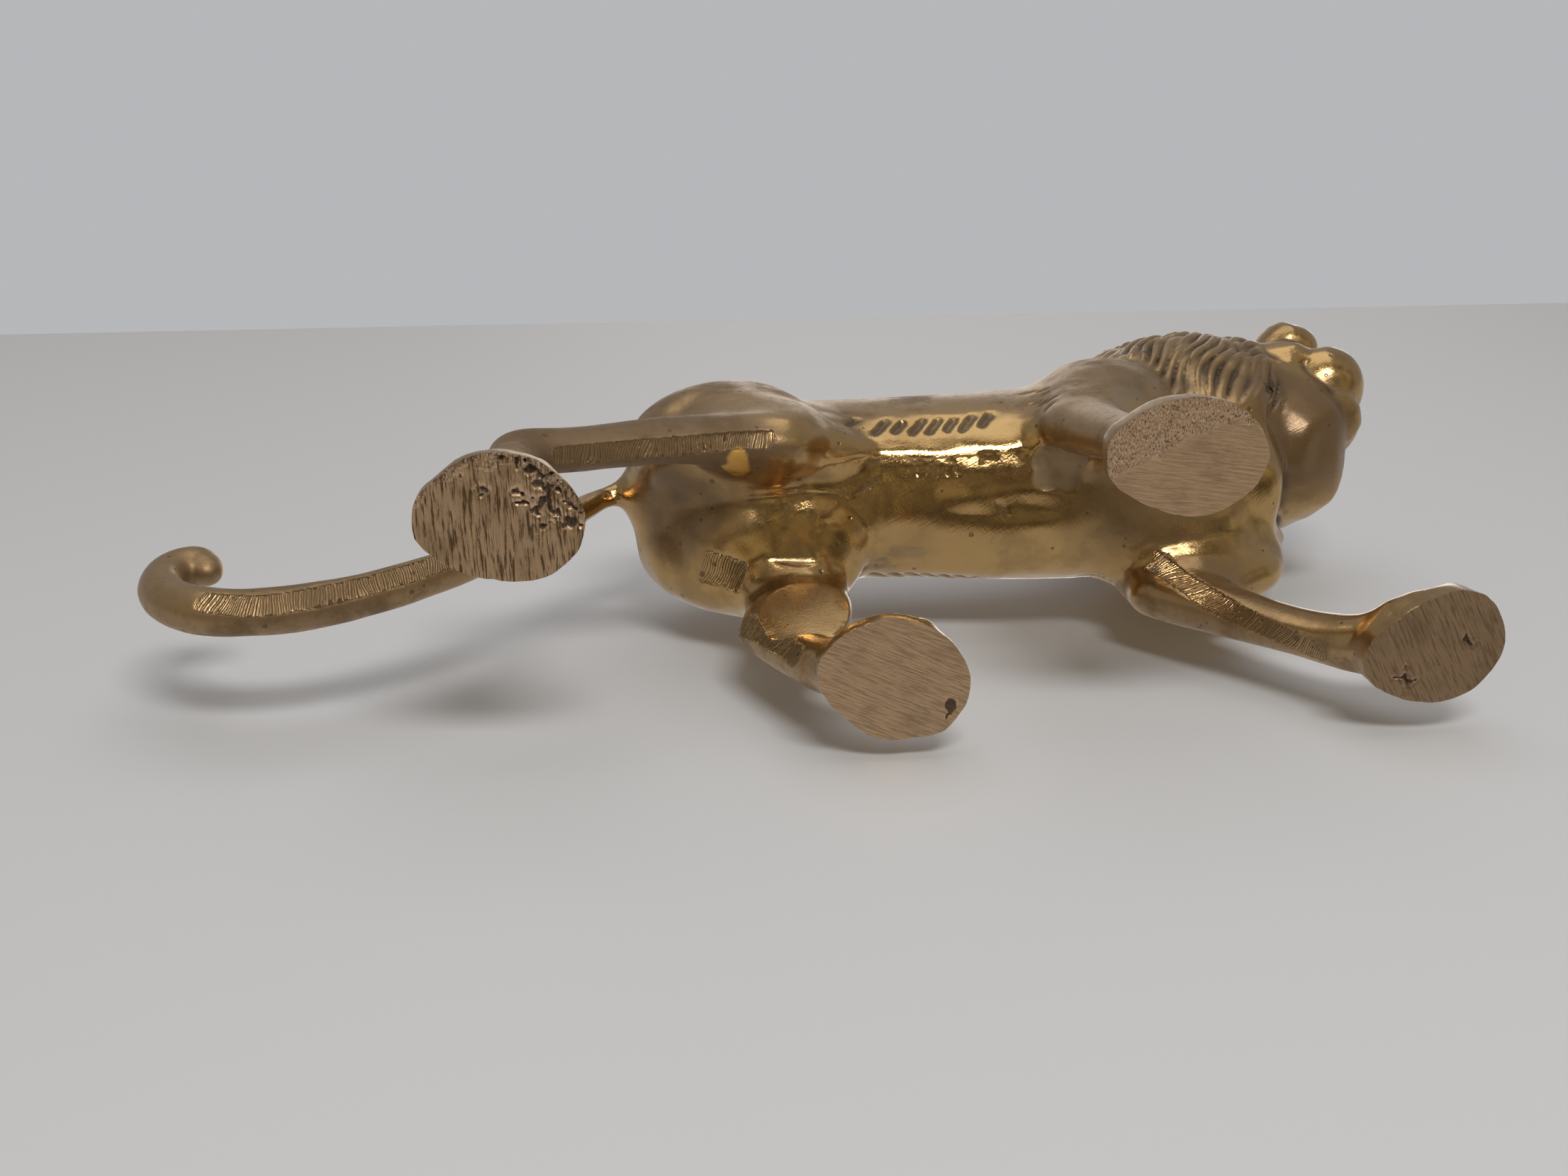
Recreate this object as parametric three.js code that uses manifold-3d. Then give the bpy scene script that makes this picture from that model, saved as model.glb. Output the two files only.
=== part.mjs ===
// A walking lion cast in one piece of brass, standing on four paws that are ground flat.
// +X towards the head, +Y to the lion's left, +Z up, the floor at z = 0.
// A station of a sweep is [x, y, z, half-width, size ahead, size behind], in shares of the lion's
// length where 290 is the whole: from the tip of the tail's curl to the muzzle.
import * as THREE from "three";
import { mergeVertices } from "three/addons/utils/BufferGeometryUtils.js";
import Module from "manifold-3d";

const wasm = await Module();
wasm.setup();

// Whole lion, mm
const LION_LENGTH = 290;
const SHARE = LION_LENGTH / 290;

// Paws, mm
const SOLE_LENGTH = 32.5;
const SOLE_WIDTH = 25.5;
const PAW_HEIGHT = 12.5;
const TOES = 4;
const TOE_WIDTH = 3.6;

// Middle of each sole on the floor, in shares, and the way it is turned, in degrees
const SOLES = {
  hindRight: { place: [-54, -20.5], turn: 0 },
  hindLeft: { place: [21.8, 15.4], turn: -6 },
  foreRight: { place: [78.1, -28.5], turn: 0 },
  foreLeft: { place: [133.4, 13], turn: -14 },
};

// Mane locks, in shares, and how many degrees they fall round the neck towards their tips
const LOCK_WIDTH = 4.5;
const LOCK_LIFT = 2.5;
const LOCK_SINK = 1.6;
const LOCK_FALL = 26;
const LOCKS_IN_ROW = 11;
const LOCK_ROWS = [
  { from: 0.78, to: 0.46, start: -34, end: 214, shift: 0 },
  { from: 0.6, to: 0.24, start: -26, end: 206, shift: 0.5 },
  { from: 0.36, to: 0.02, start: -14, end: 194, shift: 0 },
];

// Strokes cut in each flank for the ribs, mm, and their slant in degrees
const RIB_STROKES = 9;
const STROKE_LENGTH = 7.5;
const STROKE_WIDTH = 1.7;
const STROKE_DEPTH = 0.8;
const STROKE_SLANT = -58;

// First and last rib stroke's place: along the body, out to the side and up, in shares
const FIRST_RIB = [20, 20.4, 74];
const LAST_RIB = [62, 22, 72];

// Head: its place in shares, its size against the sizes below, and its turn to the lion's right
// and its drop in degrees
const HEAD_PLACE = [133, -7.5, 107];
const HEAD_SIZE = 1.1;
const HEAD_TURN = -14;
const HEAD_DROP = 7;

// Ears: place and size of the cup and of its hollow in the head's own frame, and how far the left
// one is set back
const EAR = { place: [10.6, 12.8, 10.3], size: [7.8, 5.2, 7.4] };
const EAR_HOLLOW = { place: [15.8, 15, 10.8], size: [6, 3.9, 5.2] };
const EAR_TURN = 25;
const LEFT_EAR_BACK = 3.5;

// Groove of the mouth, mm
const MOUTH_WIDTH = 2.4;

// Depth of the block that cuts the soles off, mm
const FLOOR_CUT = 60;

// Turns a closed three.js geometry into a solid.
function solidOf(geometry) {
  const bare = geometry.clone();
  bare.deleteAttribute("normal");
  bare.deleteAttribute("uv");
  const merged = mergeVertices(bare, 1e-4);
  return new wasm.Manifold(
    new wasm.Mesh({
      numProp: 3,
      vertProperties: merged.attributes.position.array,
      triVerts: new Uint32Array(merged.index.array),
    }),
  );
}

// A tapering form along a smooth line through its stations. Its sections are ovals, drawn towards
// a box by a squareness over 2 and towards a diamond by one under 2.
class Sweep {
  constructor(stations, square = 2) {
    const curve = (rows) => {
      const points = rows.map((row) => new THREE.Vector3(...row).multiplyScalar(SHARE));
      return new THREE.CatmullRomCurve3(points, false, "centripetal");
    };
    this.line = curve(stations.map((station) => station.slice(0, 3)));
    this.sizes = curve(stations.map((station) => station.slice(3)));
    this.power = 2 / square;
  }

  // Centre, direction and the two section axes at a share of the way along
  frame(share) {
    const along = this.line.getTangent(share);
    const across = new THREE.Vector3(0, 1, 0).addScaledVector(along, -along.y).normalize();
    const ahead = new THREE.Vector3().crossVectors(along, across).normalize();
    return { centre: this.line.getPoint(share), along, across, ahead };
  }

  // A point of the section at an angle, counted from the lion's left side towards "ahead"
  point(share, degrees, grow = 1, lift = 0) {
    const { centre, across, ahead } = this.frame(share);
    const size = this.sizes.getPoint(share);
    const turn = THREE.MathUtils.degToRad(degrees);
    const c = Math.cos(turn);
    const s = Math.sin(turn);
    const u = Math.sign(c) * Math.abs(c) ** this.power * size.x;
    const v = Math.sign(s) * Math.abs(s) ** this.power * (s > 0 ? size.y : size.z);
    const reach = grow * (1 + lift / Math.hypot(u, v));
    return centre.addScaledVector(across, u * reach).addScaledVector(ahead, v * reach);
  }

  // The closed form: a sphere whose rings are moved onto the sections, with rounded ends
  geometry({ around = 8, along = 8, ends = [4, 4], capRings = 2 } = {}) {
    const geometry = new THREE.SphereGeometry(1, around, along + 2 * capRings);
    const position = geometry.attributes.position;
    const rings = along + 2 * capRings;
    for (let ring = 0; ring <= rings; ring += 1) {
      const share = THREE.MathUtils.clamp((ring - capRings) / along, 0, 1);
      const fromEnd = Math.min(ring, rings - ring, capRings);
      const turn = (fromEnd / capRings) * (Math.PI / 2);
      const out = share === 0 ? -ends[0] : ends[1];
      const shift = this.frame(share).along.multiplyScalar(out * SHARE * Math.cos(turn));
      for (let column = 0; column <= around; column += 1) {
        const degrees = (-360 * (column % around)) / around;
        const point = this.point(share, degrees, Math.sin(turn)).add(shift);
        position.setXYZ(ring * (around + 1) + column, point.x, point.y, point.z);
      }
    }
    return geometry;
  }
}

function sweep(stations, { square = 2, ...shape } = {}) {
  return new Sweep(stations, square).geometry(shape);
}

// An egg-shaped lump, turned about the upright axis
function lump([x, y, z], [rx, ry, rz], { turn = 0, around = 12, along = 8 } = {}) {
  const geometry = new THREE.SphereGeometry(1, around, along);
  geometry.scale(rx, ry, rz);
  geometry.rotateZ(THREE.MathUtils.degToRad(turn));
  geometry.translate(x, y, z);
  geometry.scale(SHARE, SHARE, SHARE);
  return geometry;
}

function joined(geometries) {
  return geometries.map(solidOf).reduce((whole, solid) => whole.add(solid));
}

function union(solids) {
  return solids.reduce((whole, solid) => whole.add(solid));
}

// Long body with a flattened belly, from the rump to the chest
function torso() {
  const stations = [
    [-25, 0, 86, 11, 9, 11],
    [-14, 0, 84, 18, 15, 17],
    [4, 0, 83, 20.5, 18.5, 20],
    [30, 0, 82, 21, 19.5, 22],
    [56, 0, 81, 22, 22, 24],
    [82, 0, 82, 22.5, 27, 26],
    [104, 0, 86, 21.5, 28, 26],
    [122, 2, 88, 15, 24, 24],
  ];
  return sweep(stations, { square: 2.5, around: 16, along: 9, ends: [4, 6] });
}

// Right hind leg, trailing far behind the body
function hindRightLeg() {
  const haunch = [
    [-9, -9, 94, 11, 17, 17],
    [-6, -12.5, 80, 15, 24, 23],
    [3, -15.5, 65, 11, 19, 17],
    [7, -18, 57, 8, 11, 11],
  ];
  const shank = [
    [7, -19, 58, 7, 11, 11],
    [-14, -20.5, 53, 5.6, 8.5, 9],
    [-36, -21, 47, 4.8, 7, 7],
    [-49, -21.5, 43, 5, 7, 7],
  ];
  const foot = [
    [-50, -21.5, 44, 5, 7, 8],
    [-53, -21.5, 28, 4.8, 6, 6.5],
    [-55, -21, 14, 6.5, 7, 7.5],
    [-55, -20.5, 5, 9, 10, 10],
  ];
  return joined([
    sweep(haunch, { around: 12, ends: [7, 6] }),
    sweep(shank, { square: 1.8, ends: [5, 5] }),
    sweep(foot, { square: 1.8, along: 6, ends: [5, 2] }),
  ]);
}

// Left hind leg, brought forward under the belly
function hindLeftLeg() {
  const haunch = [
    [-9, 9, 94, 11, 17, 17],
    [-5, 12.5, 80, 15, 24, 23],
    [5, 15.5, 65, 11, 20, 18],
    [9, 16.5, 54, 8, 13, 13],
  ];
  const shank = [
    [10, 17, 56, 7, 13, 13],
    [6, 17.5, 45, 5.8, 11, 11],
    [1, 18, 35, 5, 8, 8],
  ];
  const foot = [
    [0, 18, 37, 5, 8, 8],
    [4, 18, 25, 4.7, 7, 7],
    [10, 16.8, 13, 6, 7, 7.5],
    [15, 15.5, 5, 8.5, 9, 9],
  ];
  return joined([
    sweep(haunch, { around: 12, ends: [7, 6] }),
    sweep(shank, { square: 1.8, along: 6, ends: [6, 4] }),
    sweep(foot, { square: 1.8, along: 6, ends: [4, 2] }),
  ]);
}

// Right foreleg, straight down under the shoulder with the elbow behind
function foreRightLeg() {
  const shoulder = [
    [90, -12, 100, 11, 13, 15],
    [87, -16.5, 86, 13, 18, 19],
    [80, -18, 70, 10.5, 15, 16],
    [74, -20, 58, 8, 11, 11],
  ];
  const arm = [
    [74, -20, 60, 7.5, 10, 11],
    [74.5, -22.5, 42, 5.8, 8, 8.5],
    [76, -25, 24, 5.2, 7, 7],
    [77, -27, 12, 7, 8, 8],
    [77.5, -28, 5, 9.5, 10, 10],
  ];
  return joined([
    sweep(shoulder, { around: 12, ends: [6, 5] }),
    sweep(arm, { square: 1.8, ends: [5, 2] }),
  ]);
}

// Left foreleg, reaching forward, with a sharp elbow behind
function foreLeftLeg() {
  const shoulder = [
    [104, 11, 98, 11, 16, 16],
    [107, 14.5, 84, 13, 23, 22],
    [102, 16.5, 68, 10.5, 26, 19],
    [94, 18.5, 54, 7.5, 15, 11],
  ];
  const arm = [
    [93, 18.5, 55, 7, 15, 11],
    [103, 18.5, 40, 5.8, 9.5, 9],
    [115, 18, 23, 5.2, 7, 7.5],
    [124, 16.5, 11, 6.8, 7.5, 8],
    [128, 14.5, 6, 9, 9, 9],
  ];
  return joined([
    sweep(shoulder, { around: 12, ends: [6, 5] }),
    sweep(arm, { square: 1.8, ends: [4, 2] }),
  ]);
}

// A broad paw whose widest section is the sole, with a row of toes in front
function paw({ place: [x, y], turn }) {
  const half = SOLE_LENGTH / 2 / SHARE;
  const wide = SOLE_WIDTH / 2 / SHARE;
  const high = PAW_HEIGHT / SHARE;
  const pad = [
    [-half * 0.66, 0, 0, wide * 0.7, high * 0.8, high / 2],
    [-half * 0.25, 0, 0, wide * 0.96, high, high / 2],
    [half * 0.3, 0, 0, wide, high * 0.8, high / 2],
    [half * 0.7, 0, 0, wide * 0.78, high * 0.5, high / 2],
  ];
  const parts = [sweep(pad, { square: 2.3, around: 16, along: 4, ends: [half * 0.34, half * 0.3] })];
  for (let toe = 0; toe < TOES; toe += 1) {
    const side = (toe + 0.5) / TOES - 0.5;
    const front = half * (0.62 - 1.3 * side * side);
    const size = [half * 0.3, TOE_WIDTH / SHARE, high * 0.42];
    parts.push(lump([front, side * 1.45 * wide, high * 0.38], size, { around: 6, along: 4 }));
  }
  const set = new THREE.Matrix4().makeRotationZ(THREE.MathUtils.degToRad(turn));
  set.setPosition(x * SHARE, y * SHARE, 0);
  return joined(parts.map((part) => part.applyMatrix4(set)));
}

// Thin at the rump, thick and ridged behind, curled up into a hook at the end
function tail() {
  const stations = [
    [-24, 0, 86, 8, 8, 8],
    [-32, 0, 82, 2.6, 2.8, 2.8],
    [-44, 1.5, 69, 3.6, 3.8, 3.8],
    [-66, 4, 45.5, 4.4, 4.6, 4.6],
    [-90, 5.5, 29.5, 5, 5.4, 5.4],
    [-108, 6, 26.5, 5.2, 5.8, 5.8],
    [-120.5, 6, 31, 5.2, 5.6, 5.6],
    [-127.5, 5.5, 41, 4.9, 5, 5],
    [-127, 4.8, 51, 4.6, 4.6, 4.6],
    [-122, 4.6, 55, 4.2, 4.2, 4.2],
    [-119.2, 5.2, 49.5, 3.6, 3.6, 3.6],
  ];
  return sweep(stations, { square: 1.85, around: 8, along: 26, ends: [2, 3] });
}

// Smooth collar round the face and broad bib under the throat, behind which the locks begin
const MANE = new Sweep(
  [
    [84, 0, 99, 19, 16, 19],
    [98, 0, 102, 27, 23, 28],
    [112, 0, 103, 29, 27, 35],
    [126, -1.5, 100, 27, 28.5, 33],
    [136, -3, 97.5, 23, 25, 30],
    [141.5, -3.5, 88, 17, 9, 17],
  ],
  2.1,
);

// One wavy lock lying on the mane from one share of its way to another. It falls to the side that
// it starts on, away from the top of the neck at 90 degrees.
function lock(from, to, degrees, swing) {
  const steps = 3;
  const stations = [];
  const fall = LOCK_FALL * THREE.MathUtils.clamp((degrees - 90) / 40, -1, 1);
  for (let step = 0; step <= steps; step += 1) {
    const part = step / steps;
    const share = THREE.MathUtils.lerp(from, to, part);
    const angle = degrees + fall * part + swing * Math.sin(part * Math.PI * 1.7);
    const width = LOCK_WIDTH * Math.sin(Math.PI * (0.2 + 0.72 * part)) ** 0.7;
    const lift = (LOCK_LIFT * part - LOCK_SINK) * SHARE;
    const place = MANE.point(share, angle, 1, lift).divideScalar(SHARE);
    stations.push([place.x, place.y, place.z, width, width, width]);
  }
  return sweep(stations, { around: 5, along: 3, ends: [2, 2.5], capRings: 1 });
}

function mane() {
  const parts = [MANE.geometry({ around: 18, along: 7, ends: [6, 8] })];
  for (const row of LOCK_ROWS) {
    for (let count = 0; count < LOCKS_IN_ROW; count += 1) {
      const place = (count + row.shift) / (LOCKS_IN_ROW - 1 + row.shift);
      const degrees = THREE.MathUtils.lerp(row.start, row.end, place);
      parts.push(lock(row.from, row.to, degrees, count % 2 ? 5 : -5));
    }
  }
  return joined(parts);
}

// Face in its own frame, +X out of the muzzle, then turned and set in the collar
function head() {
  const jaw = [
    [4, 0, -3, 14, 10, 9],
    [13, 0, -4.5, 12.5, 8.5, 8.5],
    [18.5, 0, -5.5, 10.5, 7, 7.5],
  ];
  const bridge = [
    [5, 0, 13, 6.5, 3, 4],
    [13, 0, 8.5, 5, 2.6, 4],
    [20.5, 0, 1.5, 5, 2.5, 4],
  ];
  const solids = [
    lump([1, 0, 3], [15, 17, 16], { around: 14, along: 8 }),
    sweep(jaw, { square: 2.4, around: 12, along: 3, ends: [3, 4.5] }),
    sweep(bridge, { around: 8, along: 3, ends: [2, 3] }),
    lump([22.6, 0, 0.5], [2.6, 4.8, 2.8], { around: 8, along: 5 }),
    lump([15.5, 0, -13], [6.5, 7, 4], { around: 8, along: 5 }),
  ];
  for (const side of [-1, 1]) {
    solids.push(
      lump([18, side * 6.2, -5.2], [6, 6.6, 5.6], { around: 10, along: 6 }),
      lump([8, side * 12, -1.5], [9, 6.5, 9], { around: 8, along: 5 }),
      lump([13.6, side * 7.6, 7.6], [2.4, 3, 2.1], { around: 6, along: 5 }),
      sweep(brow(side), { around: 5, along: 3, ends: [1.5, 1.5], capRings: 1 }),
    );
  }
  const face = joined(solids.map(setInCollar)).subtract(joined([setInCollar(mouth())]));
  return union([face, ear(-1), ear(1)]);
}

// Ridge over an eye, from the bridge of the nose round to the temple
function brow(side) {
  return [
    [13.5, side * 2.5, 12.8, 2.6, 2.6, 2.6],
    [12.5, side * 8, 12.8, 2.6, 2.6, 2.6],
    [8, side * 13, 9.5, 2, 2, 2],
  ];
}

function setInCollar(geometry) {
  const turns = [0, THREE.MathUtils.degToRad(HEAD_DROP), THREE.MathUtils.degToRad(HEAD_TURN), "ZYX"];
  const set = new THREE.Matrix4().makeRotationFromEuler(new THREE.Euler(...turns));
  set.scale(new THREE.Vector3(HEAD_SIZE, HEAD_SIZE, HEAD_SIZE));
  set.setPosition(new THREE.Vector3(...HEAD_PLACE).multiplyScalar(SHARE));
  return geometry.applyMatrix4(set);
}

// Round ear, cupped towards the front and the side
function ear(side) {
  const back = side === 1 ? LEFT_EAR_BACK : 0;
  const [cup, hollow] = [EAR, EAR_HOLLOW].map(({ place: [x, y, z], size }) => {
    const place = [x - back, side * (y + back / 2), z];
    return joined([setInCollar(lump(place, size, { turn: side * EAR_TURN, around: 9, along: 6 }))]);
  });
  return cup.subtract(hollow);
}

// Groove of the mouth, bent round the muzzle
function mouth() {
  const points = [
    [10, -15.5, -8.5],
    [19, -11, -10.5],
    [24.5, 0, -8.8],
    [19, 11, -10.5],
    [10, 15.5, -8.5],
  ];
  const places = points.map(([x, y, z]) => new THREE.Vector3(x, y, z).multiplyScalar(SHARE));
  const line = new THREE.CatmullRomCurve3(places);
  const section = new THREE.Shape().absarc(0, 0, MOUTH_WIDTH / 2, 0, Math.PI * 2);
  return new THREE.ExtrudeGeometry(section, { extrudePath: line, steps: 8, curveSegments: 2 });
}

// Slanted strokes cut along both flanks
function ribStrokes() {
  const strokes = [];
  for (const side of [-1, 1]) {
    for (let count = 0; count < RIB_STROKES; count += 1) {
      const share = count / (RIB_STROKES - 1);
      const geometry = new THREE.OctahedronGeometry(1);
      geometry.scale(STROKE_LENGTH / 2, STROKE_DEPTH * 2, STROKE_WIDTH / 2);
      geometry.rotateY(THREE.MathUtils.degToRad(STROKE_SLANT));
      const place = new THREE.Vector3(...FIRST_RIB).lerp(new THREE.Vector3(...LAST_RIB), share);
      geometry.translate(place.x * SHARE, side * place.y * SHARE, place.z * SHARE);
      strokes.push(geometry);
    }
  }
  return joined(strokes);
}

// Everything below the floor, cut off the paws to leave the flat soles
function belowFloor() {
  const geometry = new THREE.BoxGeometry(2 * LION_LENGTH, 2 * LION_LENGTH, FLOOR_CUT);
  geometry.translate(0, 0, -FLOOR_CUT / 2);
  return solidOf(geometry);
}

function lionSolid() {
  const body = joined([torso(), tail()]).subtract(ribStrokes());
  const legs = [hindRightLeg(), hindLeftLeg(), foreRightLeg(), foreLeftLeg()];
  const paws = Object.values(SOLES).map(paw);
  return filled(union([body, ...legs, ...paws, mane(), head()]).subtract(belowFloor()));
}

// The outer shell alone, so that small pockets closed in between the locks are solid metal
function filled(solid) {
  const shells = solid.decompose();
  return shells.reduce((outer, shell) => (shell.volume() > outer.volume() ? shell : outer));
}

// A three.js geometry with the origin on the floor under the middle of its box
function geometryOf(solid) {
  const made = solid.getMesh();
  const geometry = new THREE.BufferGeometry();
  geometry.setAttribute("position", new THREE.BufferAttribute(made.vertProperties, 3));
  geometry.setIndex(new THREE.BufferAttribute(made.triVerts, 1));
  geometry.computeBoundingBox();
  const middle = geometry.boundingBox.getCenter(new THREE.Vector3());
  geometry.translate(-middle.x, -middle.y, -geometry.boundingBox.min.z);
  geometry.computeVertexNormals();
  return geometry;
}

const brass = new THREE.MeshStandardMaterial({ color: 0x9a7a3c, roughness: 0.3, metalness: 1 });
const lion = new THREE.Mesh(geometryOf(lionSolid()), brass);
lion.name = "lion";

const model = new THREE.Group();
model.add(lion);
export default model;
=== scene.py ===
import logging
import math
from dataclasses import dataclass, field
from enum import Enum

import bpy
import numpy as np
from mathutils import Matrix, Vector


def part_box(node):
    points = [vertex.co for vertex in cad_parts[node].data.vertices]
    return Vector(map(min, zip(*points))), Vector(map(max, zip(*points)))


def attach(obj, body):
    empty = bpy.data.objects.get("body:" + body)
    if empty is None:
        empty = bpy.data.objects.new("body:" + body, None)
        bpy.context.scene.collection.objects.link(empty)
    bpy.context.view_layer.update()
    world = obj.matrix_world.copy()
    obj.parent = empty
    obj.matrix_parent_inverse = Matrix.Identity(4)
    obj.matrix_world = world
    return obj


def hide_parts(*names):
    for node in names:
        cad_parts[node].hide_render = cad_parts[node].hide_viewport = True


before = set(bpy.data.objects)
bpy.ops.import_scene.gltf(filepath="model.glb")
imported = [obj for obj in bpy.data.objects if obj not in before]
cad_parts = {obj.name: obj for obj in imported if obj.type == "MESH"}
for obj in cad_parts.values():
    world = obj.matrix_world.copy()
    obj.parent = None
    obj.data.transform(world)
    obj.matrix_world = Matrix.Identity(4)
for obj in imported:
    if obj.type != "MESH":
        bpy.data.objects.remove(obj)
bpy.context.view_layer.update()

MM = 0.001
SEED = 20261
LOG = logging.getLogger("lion")
REACH = 8.0
BODY_Y = 4.33
BELLY_EDGE = ((-3.0, 2.7, 10.5, 15.8, 26.5, 37.2, 46.9), (-7.5, -8.5, -8.9, -8.2, -8.0, -8.7, -9.4))
Triple = tuple[float, float, float]


class Side(Enum):
    """The lion's own right and left, with the sign of Y that each lies on."""

    RIGHT = -1
    LEFT = 1


def deselect() -> None:
    """Deselects every object."""
    bpy.ops.object.select_all(action="DESELECT")


def focus(obj: bpy.types.Object) -> None:
    """Makes one object the only selected and the active one.

    Args:
        obj: the object that the next operators act on.
    """
    deselect()
    obj.select_set(True)
    bpy.context.view_layer.objects.active = obj


def applied(obj: bpy.types.Object, kind: str, **settings: object) -> None:
    """Adds a modifier to an object and applies it.

    Args:
        obj: the object to change.
        kind: the modifier's type.
        settings: the modifier's own values.
    """
    focus(obj)
    bpy.ops.object.modifier_add(type=kind)
    modifier = obj.modifiers[-1]
    for name, value in settings.items():
        setattr(modifier, name, value)
    bpy.ops.object.modifier_apply(modifier=modifier.name)


def smooth_step(values: np.ndarray, low: float, high: float) -> np.ndarray:
    """Rises smoothly from 0 at low to 1 at high.

    Args:
        values: what is measured.
        low: the value where the result leaves 0.
        high: the value where the result reaches 1.

    Returns:
        One number from 0 to 1 for each value.
    """
    share = np.clip((values - low) / (high - low), 0.0, 1.0)
    return share * share * (3.0 - 2.0 * share)


def lattice(places: np.ndarray, cell: float, seed: int) -> np.ndarray:
    """Smooth random values in space, the same on each run.

    Args:
        places: points, in millimetres.
        cell: distance over which the values change, in millimetres.
        seed: picks the pattern.

    Returns:
        One number from 0 to 1 for each point.
    """
    scaled = places / cell
    base = np.floor(scaled).astype(np.int64)
    share = scaled - base
    share = share * share * (3.0 - 2.0 * share)
    total = np.zeros(len(places))
    for corner in range(8):
        step = np.array([corner & 1, corner >> 1 & 1, corner >> 2 & 1])
        key = (base + step) @ np.array([73856093, 19349663, 83492791]) + seed * 2654435761
        key = (key ^ (key >> 13)) * 1274126177 & 0x7FFFFFFF
        key = (key ^ (key >> 11)) & 0xFFFFF
        weight = np.prod(np.where(step, share, 1.0 - share), axis=1)
        total += weight * key / 0xFFFFF
    return total


class Skin:
    """The fine surface of a closed piece, as arrays in millimetres."""

    def __init__(self, piece: bpy.types.Object) -> None:
        """Reads the piece's mesh.

        Args:
            piece: the object whose mesh is reworked.
        """
        mesh = piece.data
        self.piece = piece
        self.places = np.empty(len(mesh.vertices) * 3, np.float32)
        mesh.vertices.foreach_get("co", self.places)
        self.places = self.places.reshape(-1, 3).astype(float) / MM
        edges = np.empty(len(mesh.edges) * 2, np.int32)
        mesh.edges.foreach_get("vertices", edges)
        self.starts, self.ends = edges.reshape(-1, 2).T
        mesh.calc_loop_triangles()
        corners = np.empty(len(mesh.loop_triangles) * 3, np.int32)
        mesh.loop_triangles.foreach_get("vertices", corners)
        self.corners = corners.reshape(-1, 3)
        size = len(self.places)
        self.valence = np.bincount(self.starts, minlength=size) + np.bincount(self.ends, minlength=size)

    def around(self, values: np.ndarray) -> np.ndarray:
        """Mean of the neighbours' values at each point.

        Args:
            values: one number or one row for each point.

        Returns:
            An array of the same shape.
        """
        rows = values.reshape(len(values), -1)
        means = np.empty_like(rows)
        for column in range(rows.shape[1]):
            line = rows[:, column]
            total = np.bincount(self.starts, line[self.ends], len(line))
            total += np.bincount(self.ends, line[self.starts], len(line))
            means[:, column] = total / self.valence
        return means.reshape(values.shape)

    def spread(self, values: np.ndarray, rounds: int, share: float | np.ndarray = 0.8) -> np.ndarray:
        """Lets values even out over the surface.

        Args:
            values: one number or one row for each point.
            rounds: how many steps.
            share: how far each step goes towards the neighbours' mean.

        Returns:
            The evened values.
        """
        for _ in range(rounds):
            values = values + share * (self.around(values) - values)
        return values

    def normals(self) -> np.ndarray:
        """Unit normals of the points, weighted by the area of the faces round them."""
        a, b, c = (self.places[self.corners[:, k]] for k in range(3))
        faces = np.cross(b - a, c - a)
        total = np.zeros_like(self.places)
        for column in range(3):
            for corner in range(3):
                total[:, column] += np.bincount(self.corners[:, corner], faces[:, column], len(total))
        return total / np.maximum(np.linalg.norm(total, axis=1, keepdims=True), 1e-12)

    def push(self, heights: np.ndarray) -> None:
        """Moves the points along their normals.

        Args:
            heights: distance of each point, in millimetres, outwards.
        """
        self.places = self.places + self.normals() * heights[:, None]

    def hollows(self, rounds: int, depth: float) -> np.ndarray:
        """How deep each point lies in a hollow.

        Args:
            rounds: steps of evening, which set the size of the hollows.
            depth: depth that counts as 1, in millimetres.

        Returns:
            One number from 0 to 1 for each point.
        """
        rise = ((self.spread(self.places, rounds) - self.places) * self.normals()).sum(1)
        return np.clip(self.spread(rise, 3) / depth, 0.0, 1.0)

    def write(self) -> None:
        """Puts the points back in the piece's mesh."""
        self.piece.data.vertices.foreach_set("co", (self.places * MM).astype(np.float32).ravel())
        self.piece.data.update()

    def keep(self, name: str, values: np.ndarray) -> None:
        """Stores one number for each point as a named attribute of the mesh.

        Args:
            name: the attribute's name, which a material reads.
            values: one number for each point.
        """
        mesh = self.piece.data
        layer = mesh.attributes.get(name) or mesh.attributes.new(name, "FLOAT", "POINT")
        layer.data.foreach_set("value", values.astype(np.float32))


def on_surface(skin: Skin, path: tuple[Triple, ...], step: float = 1.0) -> np.ndarray:
    """Lays a path on the surface, as even points.

    Args:
        skin: the surface.
        path: corners of the path, near the surface.
        step: distance between the points, in millimetres.

    Returns:
        One row for each point, with its index on the surface and its distance along the path.
    """
    corners = np.array(path, float)
    runs = np.concatenate([[0.0], np.cumsum(np.linalg.norm(np.diff(corners, axis=0), axis=1))])
    even = np.linspace(0.0, runs[-1], max(2, round(runs[-1] / step) + 1))
    points = np.stack([np.interp(even, runs, corners[:, axis]) for axis in range(3)], axis=1)
    low, high = points.min(0) - REACH, points.max(0) + REACH
    near = np.flatnonzero(np.all((skin.places > low) & (skin.places < high), axis=1))
    nearest = [near[np.argmin(((skin.places[near] - point) ** 2).sum(1))] for point in points]
    return np.stack([np.array(nearest, float), even], axis=1)


def evened(rows: np.ndarray, reach: int) -> np.ndarray:
    """Running mean of rows, over as many neighbours on each side as reach says."""
    padded = np.concatenate([rows[:1]] * reach + [rows] + [rows[-1:]] * reach)
    return np.mean([padded[k : k + len(rows)] for k in range(2 * reach + 1)], axis=0)


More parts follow.
